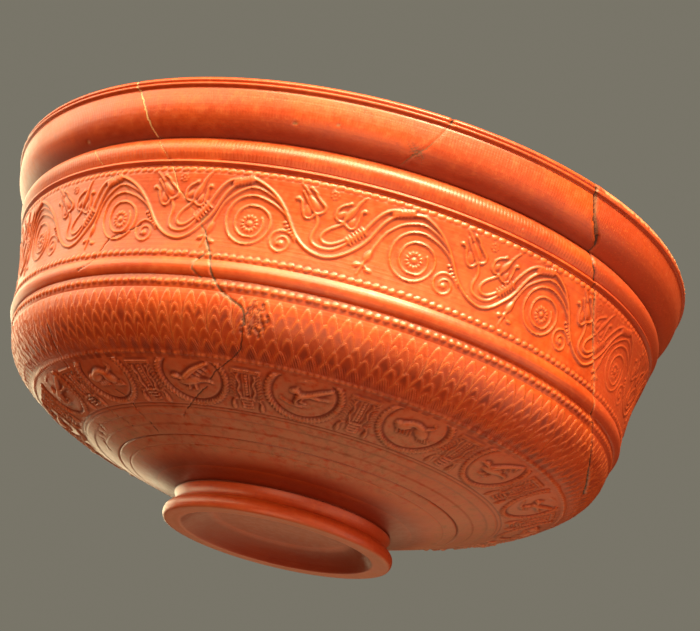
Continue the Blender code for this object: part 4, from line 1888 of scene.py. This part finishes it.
@dataclass
class MedallionStamp(Stamp):
    """One repeat, with its medallion in the middle and half a panel at either side."""

    left: float = -18.15
    right: float = 18.15
    low: float = -14.0
    high: float = 9.0
    disc: float = 9.6
    cord_radius: float = 11.6

    def draw(self, creature: Creature) -> "MedallionStamp":
        """Draws the repeat.

        Args:
            creature: The animal in the medallion.

        Returns:
            The stamp itself.
        """
        animals = {
            Creature.LEAPING: self.leaping,
            Creature.CROUCHING: self.crouching,
            Creature.BIRD: self.bird,
        }
        for part in (self.cord, animals[creature], self.panel):
            part()
        self.soften(1)
        self.groove(self.disc + 0.45, 0.8, 0.4)
        return self

    def cord(self) -> None:
        """The corded ring round the medallion."""
        self.ring(self.cord_radius, 1.1, 0.4)
        count = 52
        for i in range(count):
            turn = 2.0 * math.pi * i / count
            lean = turn + 0.12
            inner, outer = self.cord_radius - 0.65, self.cord_radius + 0.65
            ends = (
                (inner * math.cos(turn), inner * math.sin(turn)),
                (outer * math.cos(lean), outer * math.sin(lean)),
            )
            self.rib(ends, 0.7, 0.75)

    def leaping(self) -> None:
        """An animal that leaps with its limbs stretched."""
        self.rib(((-1.6, -0.6), (1.5, 0.6), (4.6, 2.6), (8.0, 4.6)), 2.2, 1.25, (1.0, 0.5))
        self.rib(((0.4, 0.4), (4.5, 0.0), (8.3, 0.5)), 1.0, 0.95, (1.0, 0.6))
        self.boss(-3.0, 1.4, (1.7, 0.95), 1.15, 10.0)
        self.rib(((-2.0, 1.0), (-0.8, 0.2)), 1.3, 1.05)
        self.rib(((-3.0, 2.0), (-2.2, 3.0)), 0.6, 0.8)
        self.rib(((-1.2, -0.8), (-2.4, -3.0), (-1.6, -4.8), (1.4, -4.4)), 1.05, 0.95, (1.1, 0.6))
        self.rib(((-0.2, -1.2), (-0.8, -3.0), (1.6, -3.4)), 0.8, 0.8, (1.0, 0.6))
        self.rib(((-7.4, -2.6), (-4.5, -4.4), (-2.0, -4.9)), 0.9, 0.5)
        self.rib(((-2.8, 5.6), (1.5, 6.8), (6.0, 7.4)), 0.8, 0.6, (0.5, 1.0))

    def crouching(self) -> None:
        """An animal that crouches, its mane and tail hatched."""
        self.boss(-4.0, 0.2, (2.9, 1.9), 1.2, 18.0)
        self.boss(2.6, -0.6, (3.2, 2.1), 1.25, -40.0)
        self.rib(((-4.2, 1.0), (-1.2, 2.4), (1.6, 1.4)), 2.4, 1.1)
        self.boss(-6.0, 0.8, (1.4, 1.0), 1.2, 20.0)
        self.rib(((3.0, 1.8), (5.2, 3.6), (4.0, 5.0)), 0.9, 0.9, (1.0, 0.5))
        for i in range(5):
            self.rib(((-5.4 + 1.2 * i, -1.6), (-4.7 + 1.2 * i, -3.6)), 0.55, 0.75)
            self.rib(((2.4 + 0.95 * i, -2.4), (3.4 + 0.95 * i, -4.2)), 0.55, 0.75)

    def bird(self) -> None:
        """A bird with a raised wing."""
        self.boss(-1.0, -1.4, (4.2, 1.9), 1.2, 14.0, -0.2)
        self.rib(((-2.0, 0.0), (1.4, 3.2), (6.4, 6.4)), 2.3, 1.15, (1.0, 0.5))
        for i in range(4):
            self.rib(((-0.4 + 1.6 * i, 1.2 + 1.1 * i), (1.4 + 1.6 * i, -0.2 + 1.0 * i)), 0.55, 0.85)
        self.boss(-5.6, 0.2, (1.3, 1.05), 1.15)
        self.rib(((-5.0, -0.1), (-3.4, -0.6)), 1.3, 1.05)
        self.rib(((-6.8, 0.1), (-8.0, -0.4)), 0.7, 0.8, (1.0, 0.4))
        self.rib(((2.4, -1.2), (5.2, -0.8), (7.2, -1.6)), 1.3, 0.95, (1.0, 0.7))
        self.rib(((-1.4, -2.8), (-1.9, -4.8), (-3.1, -5.2)), 0.7, 0.8)
        self.rib(((0.6, -2.8), (0.6, -4.9), (-0.7, -5.3)), 0.7, 0.8)

    def panel(self) -> None:
        """The upright panel: a dotted column on a banded drum, wavy lines, drops and a bar on top."""
        middle = self.right
        for y in (5.7, 4.7):
            self.rib(((middle - 4.5, y), (middle + 4.5, y)), 0.45, 0.7)
        self.bars((middle - 4.1, 5.2), (middle + 4.1, 5.2), 13, (1.0, 0.4), 0.55, 60.0)
        for i in range(8):
            self.boss(middle, 3.7 - 1.15 * i, (0.6, 0.45), 0.8)
        for side in (-1.0, 1.0):
            self.rib(((middle + side, 4.2), (middle + side, -5.4)), 0.4, 0.45)
        for i in range(4):
            y = -6.2 - 1.3 * i
            self.rib(((middle - 1.8, y), (middle, y - 0.25), (middle + 1.8, y)), 0.75, 0.85)
        for side in (-1.0, 1.0):
            wave = [(middle + side * (2.5 + 0.4 * math.sin(1.25 * i)), 4.0 - 1.1 * i) for i in range(11)]
            self.rib(wave, 0.5, 0.7)
            for i in range(9):
                x, y = middle + side * (3.1 + 0.14 * i), 3.4 - 1.25 * i
                drop = ((x, y), (x + 1.0 * side, y + 0.9), (x + 1.7 * side, y + 0.5))
                self.rib(drop, 0.5, 0.65, (1.0, 0.5))
            self.boss(middle + side * 5.0, -9.9, (2.2, 0.85), 0.95, 90.0, 0.35)
            stalk = [(middle + side * x, y) for x, y in ((3.4, -6.6), (4.3, -7.0), (4.9, -8.2))]
            self.rib(stalk, 0.5, 0.6)


@dataclass
class MedallionRow(Band):
    """Medallions with an animal each, and an upright panel of columns and wavy lines between them."""

    name: str = "medallion_row"
    edges: tuple[Edge, Edge] = (Edge.LEAVES_END, Edge.MEDALLIONS_END)
    first_angle: float = -1.0
    deep: float = 0.15
    at_length: float = 31.0
    grooves: tuple[float, float] = (44.1, 45.3)

    def relief(self, grid: Grid) -> Array:
        """The medallions with their panels, and the two grooves under them.

        Args:
            grid: The grid to work it out on.

        Returns:
            A height at each station and angle.
        """
        up = (self.meridian.below_carination(self.at_length) - grid.stations)[:, None]
        step = 360.0 / REPEATS
        number = np.floor((grid.angles - self.first_angle) / step + 0.5).astype(int)
        local = (grid.angles - self.first_angle) / step - number
        kinds = [MedallionStamp().draw(creature) for creature in Creature]
        heights = np.zeros(grid.shape)
        for turn in np.unique(number):
            pick = number == turn
            kind = kinds[int(turn) % len(kinds)]
            x = (local[pick] * (kind.right - kind.left))[None, :]
            heights[:, pick] = kind.at(x + 0 * up, up + 0 * x)
        heights *= 0.92 * (1.0 - 0.12 * np.sin(grid.turn * 2.0))
        down = grid.down - self.meridian.edge(Edge.CARINATION)
        fade = ease(down, 24.0, 24.6) * (1.0 - ease(down, 43.0, 43.6))
        grooves = sum(np.exp(-(((down - middle) / 0.32) ** 2)) for middle in self.grooves)
        return heights * fade - 0.32 * grooves


@dataclass
class TurnedPiece(Band):
    """A plain piece that is spun from its section."""

    turns: int = 360

    def section(self) -> Array:
        """The closed section, as radius and height."""
        raise NotImplementedError

    def build(self) -> bpy.types.Object:
        """Spins the section into the piece and works its surface over.

        Returns:
            The piece's object.
        """
        section = self.section()
        bpy.ops.object.select_all(action="DESELECT")
        bpy.ops.mesh.primitive_circle_add(vertices=len(section), radius=0.01, fill_type="NOTHING")
        piece = bpy.context.object
        piece.name = self.name
        mesh = piece.data
        mesh.name = self.name
        places = np.stack([0.0 * section[:, 0], -section[:, 0], section[:, 1]], axis=-1) * MM
        mesh.vertices.foreach_set("co", places.ravel())
        mesh.update()
        bpy.ops.object.mode_set(mode="EDIT")
        bpy.ops.mesh.select_all(action="SELECT")
        bpy.ops.mesh.spin(
            steps=self.turns, angle=2.0 * math.pi, use_auto_merge=True, center=(0.0, 0.0, 0.0),
            axis=(0.0, 0.0, 1.0),
        )
        bpy.ops.mesh.select_all(action="SELECT")
        bpy.ops.mesh.remove_doubles(threshold=1e-6)
        bpy.ops.mesh.delete_loose(use_verts=True, use_edges=True, use_faces=False)
        bpy.ops.mesh.select_all(action="SELECT")
        bpy.ops.mesh.normals_make_consistent(inside=False)
        bpy.ops.object.mode_set(mode="OBJECT")
        self.work_over(mesh)
        bpy.ops.object.shade_smooth_by_angle(angle=math.radians(55.0))
        return piece

    def work_over(self, mesh: bpy.types.Mesh) -> None:
        """Adds the hand-turned sway, the breaks and the fields to a spun mesh.

        Args:
            mesh: The piece's mesh.
        """
        flat = np.empty(len(mesh.vertices) * 3)
        mesh.vertices.foreach_get("co", flat)
        flat = flat.reshape(-1, 3) / MM
        radius = np.hypot(flat[:, 0], flat[:, 1])
        angle = np.degrees(np.arctan2(flat[:, 0], -flat[:, 1]))
        out, up, fields = self.surface(radius, angle, flat[:, 2])
        sway, rise = hand_turned(angle, flat[:, 2])
        scale = 1.0 + (out + sway) / np.maximum(radius, 1.0)
        flat[:, :2] *= scale[:, None]
        flat[:, 2] += up + rise
        mesh.vertices.foreach_set("co", (flat * MM).ravel())
        for weather in Weather:
            values = fields.get(weather.value, np.zeros(len(radius)))
            layer = mesh.attributes.new(weather.value, "FLOAT", "POINT")
            layer.data.foreach_set("value", values.astype(np.float32))
        mesh.update()

    def surface(self, radius: Array, angle: Array, height: Array) -> Surface:
        """Changes of radius and height at each place, and the fields there.

        Args:
            radius: Each place's radius.
            angle: Its angle.
            height: Its height.

        Returns:
            The two changes, and the fields by name.
        """
        raise NotImplementedError


@dataclass
class Foot(TurnedPiece):
    """The ring foot with its thin ridge, and the recess inside it."""

    name: str = "foot"
    turns: int = 240

    def section(self) -> Array:
        """The foot down to the middle of the recess, and a back inside the wall.

        Returns:
            Radius and height of each point.
        """
        foot = self.meridian.by_radius_below(self.meridian.body_end[0])
        start = self.meridian.edge(Edge.BODY_FOOT)
        stations = np.r_[np.linspace(start, foot - 0.3, 8), np.linspace(foot, foot + 26.0, 56)]
        stations = np.r_[stations, np.linspace(foot + 27.0, float(self.meridian.stations[-1]), 12)]
        r, z, _, _ = self.meridian.at(stations)
        outer = np.stack([r, z], axis=-1)
        outer[-1, 0] = 0.0
        back = np.array([(0.0, 9.6), (28.0, 9.4), (33.0, 10.2), (38.0, 12.6), (r[0] - 1.0, z[0] + 2.4)])
        return np.vstack([outer, back])

    def surface(self, radius: Array, angle: Array, height: Array) -> Surface:
        """Dust in the recess, bare clay on the resting ring, painted shade in the corner over the foot and in
        the recess, and a painted highlight along the foot's ridge.

        Args:
            radius: Each place's radius.
            angle: Its angle.
            height: Its height.

        Returns:
            The changes of radius and height, and the fields by name.
        """
        patchy = 0.75 + 0.25 * np.sin(np.radians(angle) * 7.0)
        resting = (1.0 - ease(height, 0.3, 1.0)) * ease(radius, 34.6, 36.4) * (1.0 - ease(radius, 40.6, 41.2))
        floor = (1.0 - ease(radius, 22.4, 23.6)) * (height < 9.0)
        # cone and corner mark painted shade: the recess's inner wall and the corner over the foot.
        cone = ease(radius, 23.8, 25.0) * (1.0 - ease(radius, 34.0, 35.0)) * (height < 6.8)
        corner = (1.0 - ease(radius, 43.0, 50.0)) * ease(height, 9.0, 10.0)
        fields = {
            "dust": 0.3 * floor,
            "bare": 0.35 * resting * patchy,
            # Painted shade in the corner over the foot, on the recess wall and on the recess floor.
            "hollow": np.maximum(np.maximum(corner, 0.9 * cone), 0.45 * floor),
            # Painted highlight along the foot's thin ridge.
            "crest": np.exp(-(((height - 4.7) / 0.4) ** 2)) * (radius > 38.5) * 0.8,
        }
        return 0.0, 0.0, fields


@dataclass
class LowerBody(Band):
    """The plain lower body with its shallow turned band and incised line."""

    name: str = "lower_body"
    edges: tuple[Edge, Edge] = (Edge.MEDALLIONS_END, Edge.BODY_FOOT)
    band_edges: tuple[float, float] = (49.2, 54.1)
    line_at: float = 59.6
    low_line_at: float = 64.5

    def row_stations(self) -> Array:
        """Wide rows, with fine ones over the band's edges and the incised lines.

        Returns:
            The stations, rising.
        """
        middles = (*self.band_edges, self.line_at, self.low_line_at)
        fine = [self.meridian.below_carination(m) + np.linspace(-0.8, 0.8, 7) for m in middles]
        wide = np.linspace(self.start, self.end, 30)
        kept = [s for s in wide if min(np.min(np.abs(s - block)) for block in fine) > 0.5]
        return np.sort(np.concatenate([kept, *fine]))

    def dust(self, grid: Grid) -> Array:
        """Dust all over, but for the corner over the foot.

        Args:
            grid: The grid to work it out on.

        Returns:
            The dust at each station and angle.
        """
        radius = self.meridian.at(grid.stations)[0][:, None]
        turn = grid.turn
        streaks = 0.1 * np.sin(turn * 9.0 + 0.35 * radius) + 0.08 * np.sin(turn * 23.0 - 0.8 * radius)
        patchy = 0.85 + 0.15 * np.sin(turn * 4.0 + 1.0) + streaks
        return np.clip(ease(radius, 47.0, 57.0) * patchy, 0.0, 1.0)

    def relief(self, grid: Grid) -> Array:
        """The shallow band and the incised line.

        Args:
            grid: The grid to work it out on.

        Returns:
            A height at each station and angle.
        """
        down = grid.down - self.meridian.edge(Edge.CARINATION)
        (upper, lower) = self.band_edges
        band = ease(down, upper - 0.3, upper + 0.3) * (1.0 - ease(down, lower - 0.3, lower + 0.3))
        line = np.exp(-(((down - self.line_at) / 0.3) ** 2))
        low_line = np.exp(-(((down - self.low_line_at) / 0.3) ** 2))
        return -0.22 * band - 0.45 * line - 0.2 * low_line

    def marked(self, grid: Grid) -> Fields:
        """Painted shade in the incised line, along the band's edges and in the corner over the foot.

        Args:
            grid: The grid to work it out on.

        Returns:
            Each field by name.
        """
        radius = self.meridian.at(grid.stations)[0][:, None]
        down = grid.down - self.meridian.edge(Edge.CARINATION)
        line = np.exp(-(((down - self.line_at) / 0.35) ** 2)) * (0.75 + 0.25 * np.sin(grid.turn * 5.0 + 1.2))
        edges = sum(np.exp(-(((down - middle) / 0.4) ** 2)) for middle in self.band_edges)
        # Painted shade: darker in the corner over the foot, in the incised line and along the band's edges.
        painted_shade = (1.0 - ease(radius, 45.0, 55.0)) + 1.1 * line + 0.45 * edges
        return {"hollow": np.clip(painted_shade, 0.0, 1.0)}


@dataclass
class Inside(TurnedPiece):
    """The plain glossy inside, with fine turned grooves and a low rise in the middle."""

    name: str = "inside"
    turns: int = 180
    wall: float = 6.2
    middle: float = 15.65

    def outline(self) -> Array:
        """The inside from the lip down to the middle, as radius and height.

        Returns:
            Radius and height of each point.
        """
        handles = [self.meridian.carination, *self.meridian.body_handles, self.meridian.body_end]
        curve = np.array([handles[0], *bezier(handles, 40)])
        slope = np.gradient(curve, axis=0)
        length = np.hypot(slope[:, 0], slope[:, 1])
        offset = curve + np.stack([slope[:, 1], -slope[:, 0]], axis=-1) / length[:, None] * self.wall
        bowl = [tuple(p) for p in offset[4:-3]]
        wall = [
            (121.4, 112.8), (120.4, 111.2), (117.8, 107.4), (114.4, 102.2), (111.4, 98.6), (110.1, 95.6),
            (109.9, 91.0), (110.0, 84.5), (107.6, 72.0), (105.2, 60.0), (103.3, 53.5), (102.3, 50.0),
        ]
        floor = [
            (30.0, 15.1), (22.0, 14.75), (14.5, 14.6), (13.2, 14.8), (9.0, 15.3), (4.0, 15.6),
            (0.0, self.middle),
        ]
        return smooth_path([*wall, *bowl[::2], *floor], 1.6)

    def section(self) -> Array:
        """The inside and a back inside the wall.

        Returns:
            Radius and height of each point.
        """
        outer = self.outline()
        lengths = np.r_[0.0, np.cumsum(np.linalg.norm(np.diff(outer, axis=0), axis=1))]
        outer[:, 1] += 0.035 * np.sin(lengths * 1.7) * (lengths > 12.0)
        outer[-1] = (0.0, self.middle)
        slope = np.gradient(outer, axis=0)
        length = np.maximum(np.hypot(slope[:, 0], slope[:, 1]), 1e-6)
        back = outer - np.stack([slope[:, 1], -slope[:, 0]], axis=-1) / length[:, None] * 2.0
        back = back[3:-4:5][::-1]
        back = np.vstack([[(0.0, 12.9)], [(12.0, 12.6)], back])
        return np.vstack([outer, back])

    def surface(self, radius: Array, angle: Array, height: Array) -> Surface:
        """The mended joint, which goes through the wall, and the sherd beside it.

        Args:
            radius: Each place's radius.
            angle: Its angle.
            height: Its height.

        Returns:
            The changes of radius and height, and the fields by name.
        """
        path = self.damage.lines()[0][1]
        levels = self.meridian.at(path[:, 1])[1]
        edge = np.interp(-height, -levels, path[:, 0])
        end = self.damage.sherd_end
        sherd = ease(angle - edge, -0.5, 0.5) * (1.0 - ease(angle, end - 30.0, end))
        sherd = sherd * ease(height, 40.0, 50.0)
        away = np.abs(angle - edge) * math.radians(1.0) * radius
        seam = np.clip(1.0 - away / 2.4, 0.0, 1.0) * ease(height, 34.0, 37.0) * (angle < 90.0)
        fields = {"seam": seam, "glue": 0.5 + 0.0 * seam, "gap": 0.4 + 0.0 * seam, "sherd": 0.4 * sherd}
        return self.damage.sherd_out * sherd, self.damage.sherd_rise(height) * sherd, fields


@dataclass(frozen=True)
class SoftLight:
    """A square area light: its place, the height on the bowl's axis that it points at, its side,
    its power in watts and its colour."""

    name: str
    place: tuple
    aim: float
    size: float
    power: float
    colour: tuple

    def build(self) -> None:
        """Adds the light."""
        light = bpy.data.lights.new(self.name, "AREA")
        light.size = self.size
        light.energy = self.power
        light.color = self.colour
        made = bpy.data.objects.new(self.name, light)
        made.location = self.place
        way = Vector((0.0, 0.0, self.aim)) - Vector(self.place)
        made.rotation_euler = way.to_track_quat("-Z", "Y").to_euler()
        bpy.context.scene.collection.objects.link(made)


@dataclass
class Studio:
    """A pale floor, soft light and the camera at the photograph's angle."""

    lights: Sequence[SoftLight] = (
        SoftLight("front", (-0.225, -0.786, 0.796), 0.05, 0.7, 28.0, (1.0, 0.92, 0.5)),
        SoftLight("spot", (0.266, -0.731, 0.838), 0.05, 0.34, 31.0, (1.0, 0.94, 0.55)),
        SoftLight("left", (-1.018, 0.18, 0.436), 0.05, 0.8, 8.5, (1.0, 0.93, 0.58)),
        SoftLight("back_left", (-0.542, 0.938, 0.251), 0.05, 0.8, 9.0, (1.0, 0.86, 0.52)),
        SoftLight("left_front", (-0.863, -0.499, 0.525), 0.05, 0.7, 9.0, (1.0, 0.75, 0.42)),
        SoftLight("right", (0.629, -0.898, 0.156), 0.05, 0.8, 4.0, (1.0, 0.45, 0.22)),
        SoftLight("bounce", (0.14, 0.42, -0.36), 0.04, 0.6, 0.9, (1.0, 0.62, 0.33)),
        SoftLight("right_low", (0.75, -0.35, -0.3), 0.04, 0.7, 2.3, (1.0, 0.7, 0.46)),
        SoftLight("low", (-0.05, -0.66, -0.42), 0.04, 0.5, 2.3, (1.0, 0.66, 0.4)),
    )
    backdrop: tuple = (0.19, 0.178, 0.14, 1.0)
    glow: tuple = (0.095, 0.04, 0.015, 1.0)
    floor_size: float = 6.0
    camera_place: tuple = (0.00639, -0.57389, -0.1223)
    right: tuple = (0.97172, -0.08180, 0.22151)
    up: tuple = (-0.23613, -0.33664, 0.91154)
    back: tuple = (0.0, -0.93807, -0.34644)
    lens: float = 85.21
    floor_level: float = -0.0004

    def build(self) -> None:
        """Adds the floor, the lights, the backdrop and the camera."""
        self.add_floor()
        for light in self.lights:
            light.build()
        bpy.context.scene.view_settings.view_transform = "Standard"
        self.add_backdrop()
        self.add_camera()

    def add_floor(self) -> None:
        """A wide floor just under the foot."""
        bpy.ops.object.select_all(action="DESELECT")
        bpy.ops.mesh.primitive_plane_add(size=self.floor_size, location=(0.0, 0.0, self.floor_level))
        floor = bpy.context.object
        floor.name = "studio_floor"
        bpy.ops.object.transform_apply(location=True, rotation=True, scale=True)
        floor.data.materials.append(StudioFloor().make("studio_floor"))
        floor.visible_shadow = False
        floor.visible_diffuse = False
        floor.visible_glossy = False

    def add_backdrop(self) -> None:
        """A plain soft grey all round."""
        world = bpy.data.worlds.new("studio_world")
        world.use_nodes = True
        tree = NodeBench(world.node_tree)
        seen = world.node_tree.nodes["Background"]
        seen.inputs["Color"].default_value = self.backdrop
        glow = tree.add("ShaderNodeBackground")
        glow.inputs["Color"].default_value = self.glow
        either = tree.add("ShaderNodeMixShader")
        tree.link(tree.add("ShaderNodeLightPath").outputs["Is Camera Ray"], either.inputs[0])
        tree.link(glow.outputs[0], either.inputs[1])
        tree.link(seen.outputs[0], either.inputs[2])
        tree.link(either.outputs[0], world.node_tree.nodes["World Output"].inputs["Surface"])
        bpy.context.scene.world = world

    def add_camera(self) -> None:
        """The camera, turned as the photograph was taken."""
        data = bpy.data.cameras.new("camera")
        data.lens = self.lens
        data.sensor_width = 36.0
        data.clip_start = 0.01
        camera = bpy.data.objects.new("camera", data)
        axes = Matrix((self.right, self.up, self.back)).transposed()
        camera.matrix_world = Matrix.Translation(self.camera_place) @ axes.to_4x4()
        bpy.context.scene.collection.objects.link(camera)
        bpy.context.scene.camera = camera


def main() -> None:
    """Builds the bowl band by band, dresses it and sets the studio up."""
    logging.basicConfig(level=logging.INFO, format="%(message)s")
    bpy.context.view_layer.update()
    meridian = Meridian()
    damage = Damage(meridian)
    finish = RedSlip().make("red_slip_worn")
    bands = [
        Lip(meridian, damage, columns=840),
        Ovolo(meridian, damage, columns=1100, row_step=0.55, spread=Spread.FRONT),
        SecondMoulding(meridian, damage, columns=1100, row_step=0.55, spread=Spread.FRONT),
        Fillet(meridian, damage, columns=600, row_step=0.16),
        ScrollFrieze(meridian, damage, "scroll_frieze_front", columns=1080, row_step=0.35, arc=(-95.0, 95.0)),
        ScrollFrieze(meridian, damage, "scroll_frieze_back", columns=520, row_step=0.52, arc=(95.0, 265.0)),
        BeltMoulding(meridian, damage, columns=1440, row_step=0.45, spread=Spread.FRONT),
        LeafTips(meridian, damage, columns=1360, row_step=0.48, spread=Spread.FRONT),
        MedallionRow(meridian, damage, columns=1300, row_step=0.46, spread=Spread.FRONT),
        LowerBody(meridian, damage, columns=480, spread=Spread.FRONT),
        Foot(meridian, damage),
        Inside(meridian, damage),
    ]
    for band in bands:
        band.dress(band.build(), finish)
    Studio().build()


if __name__ == "__main__":
    main()
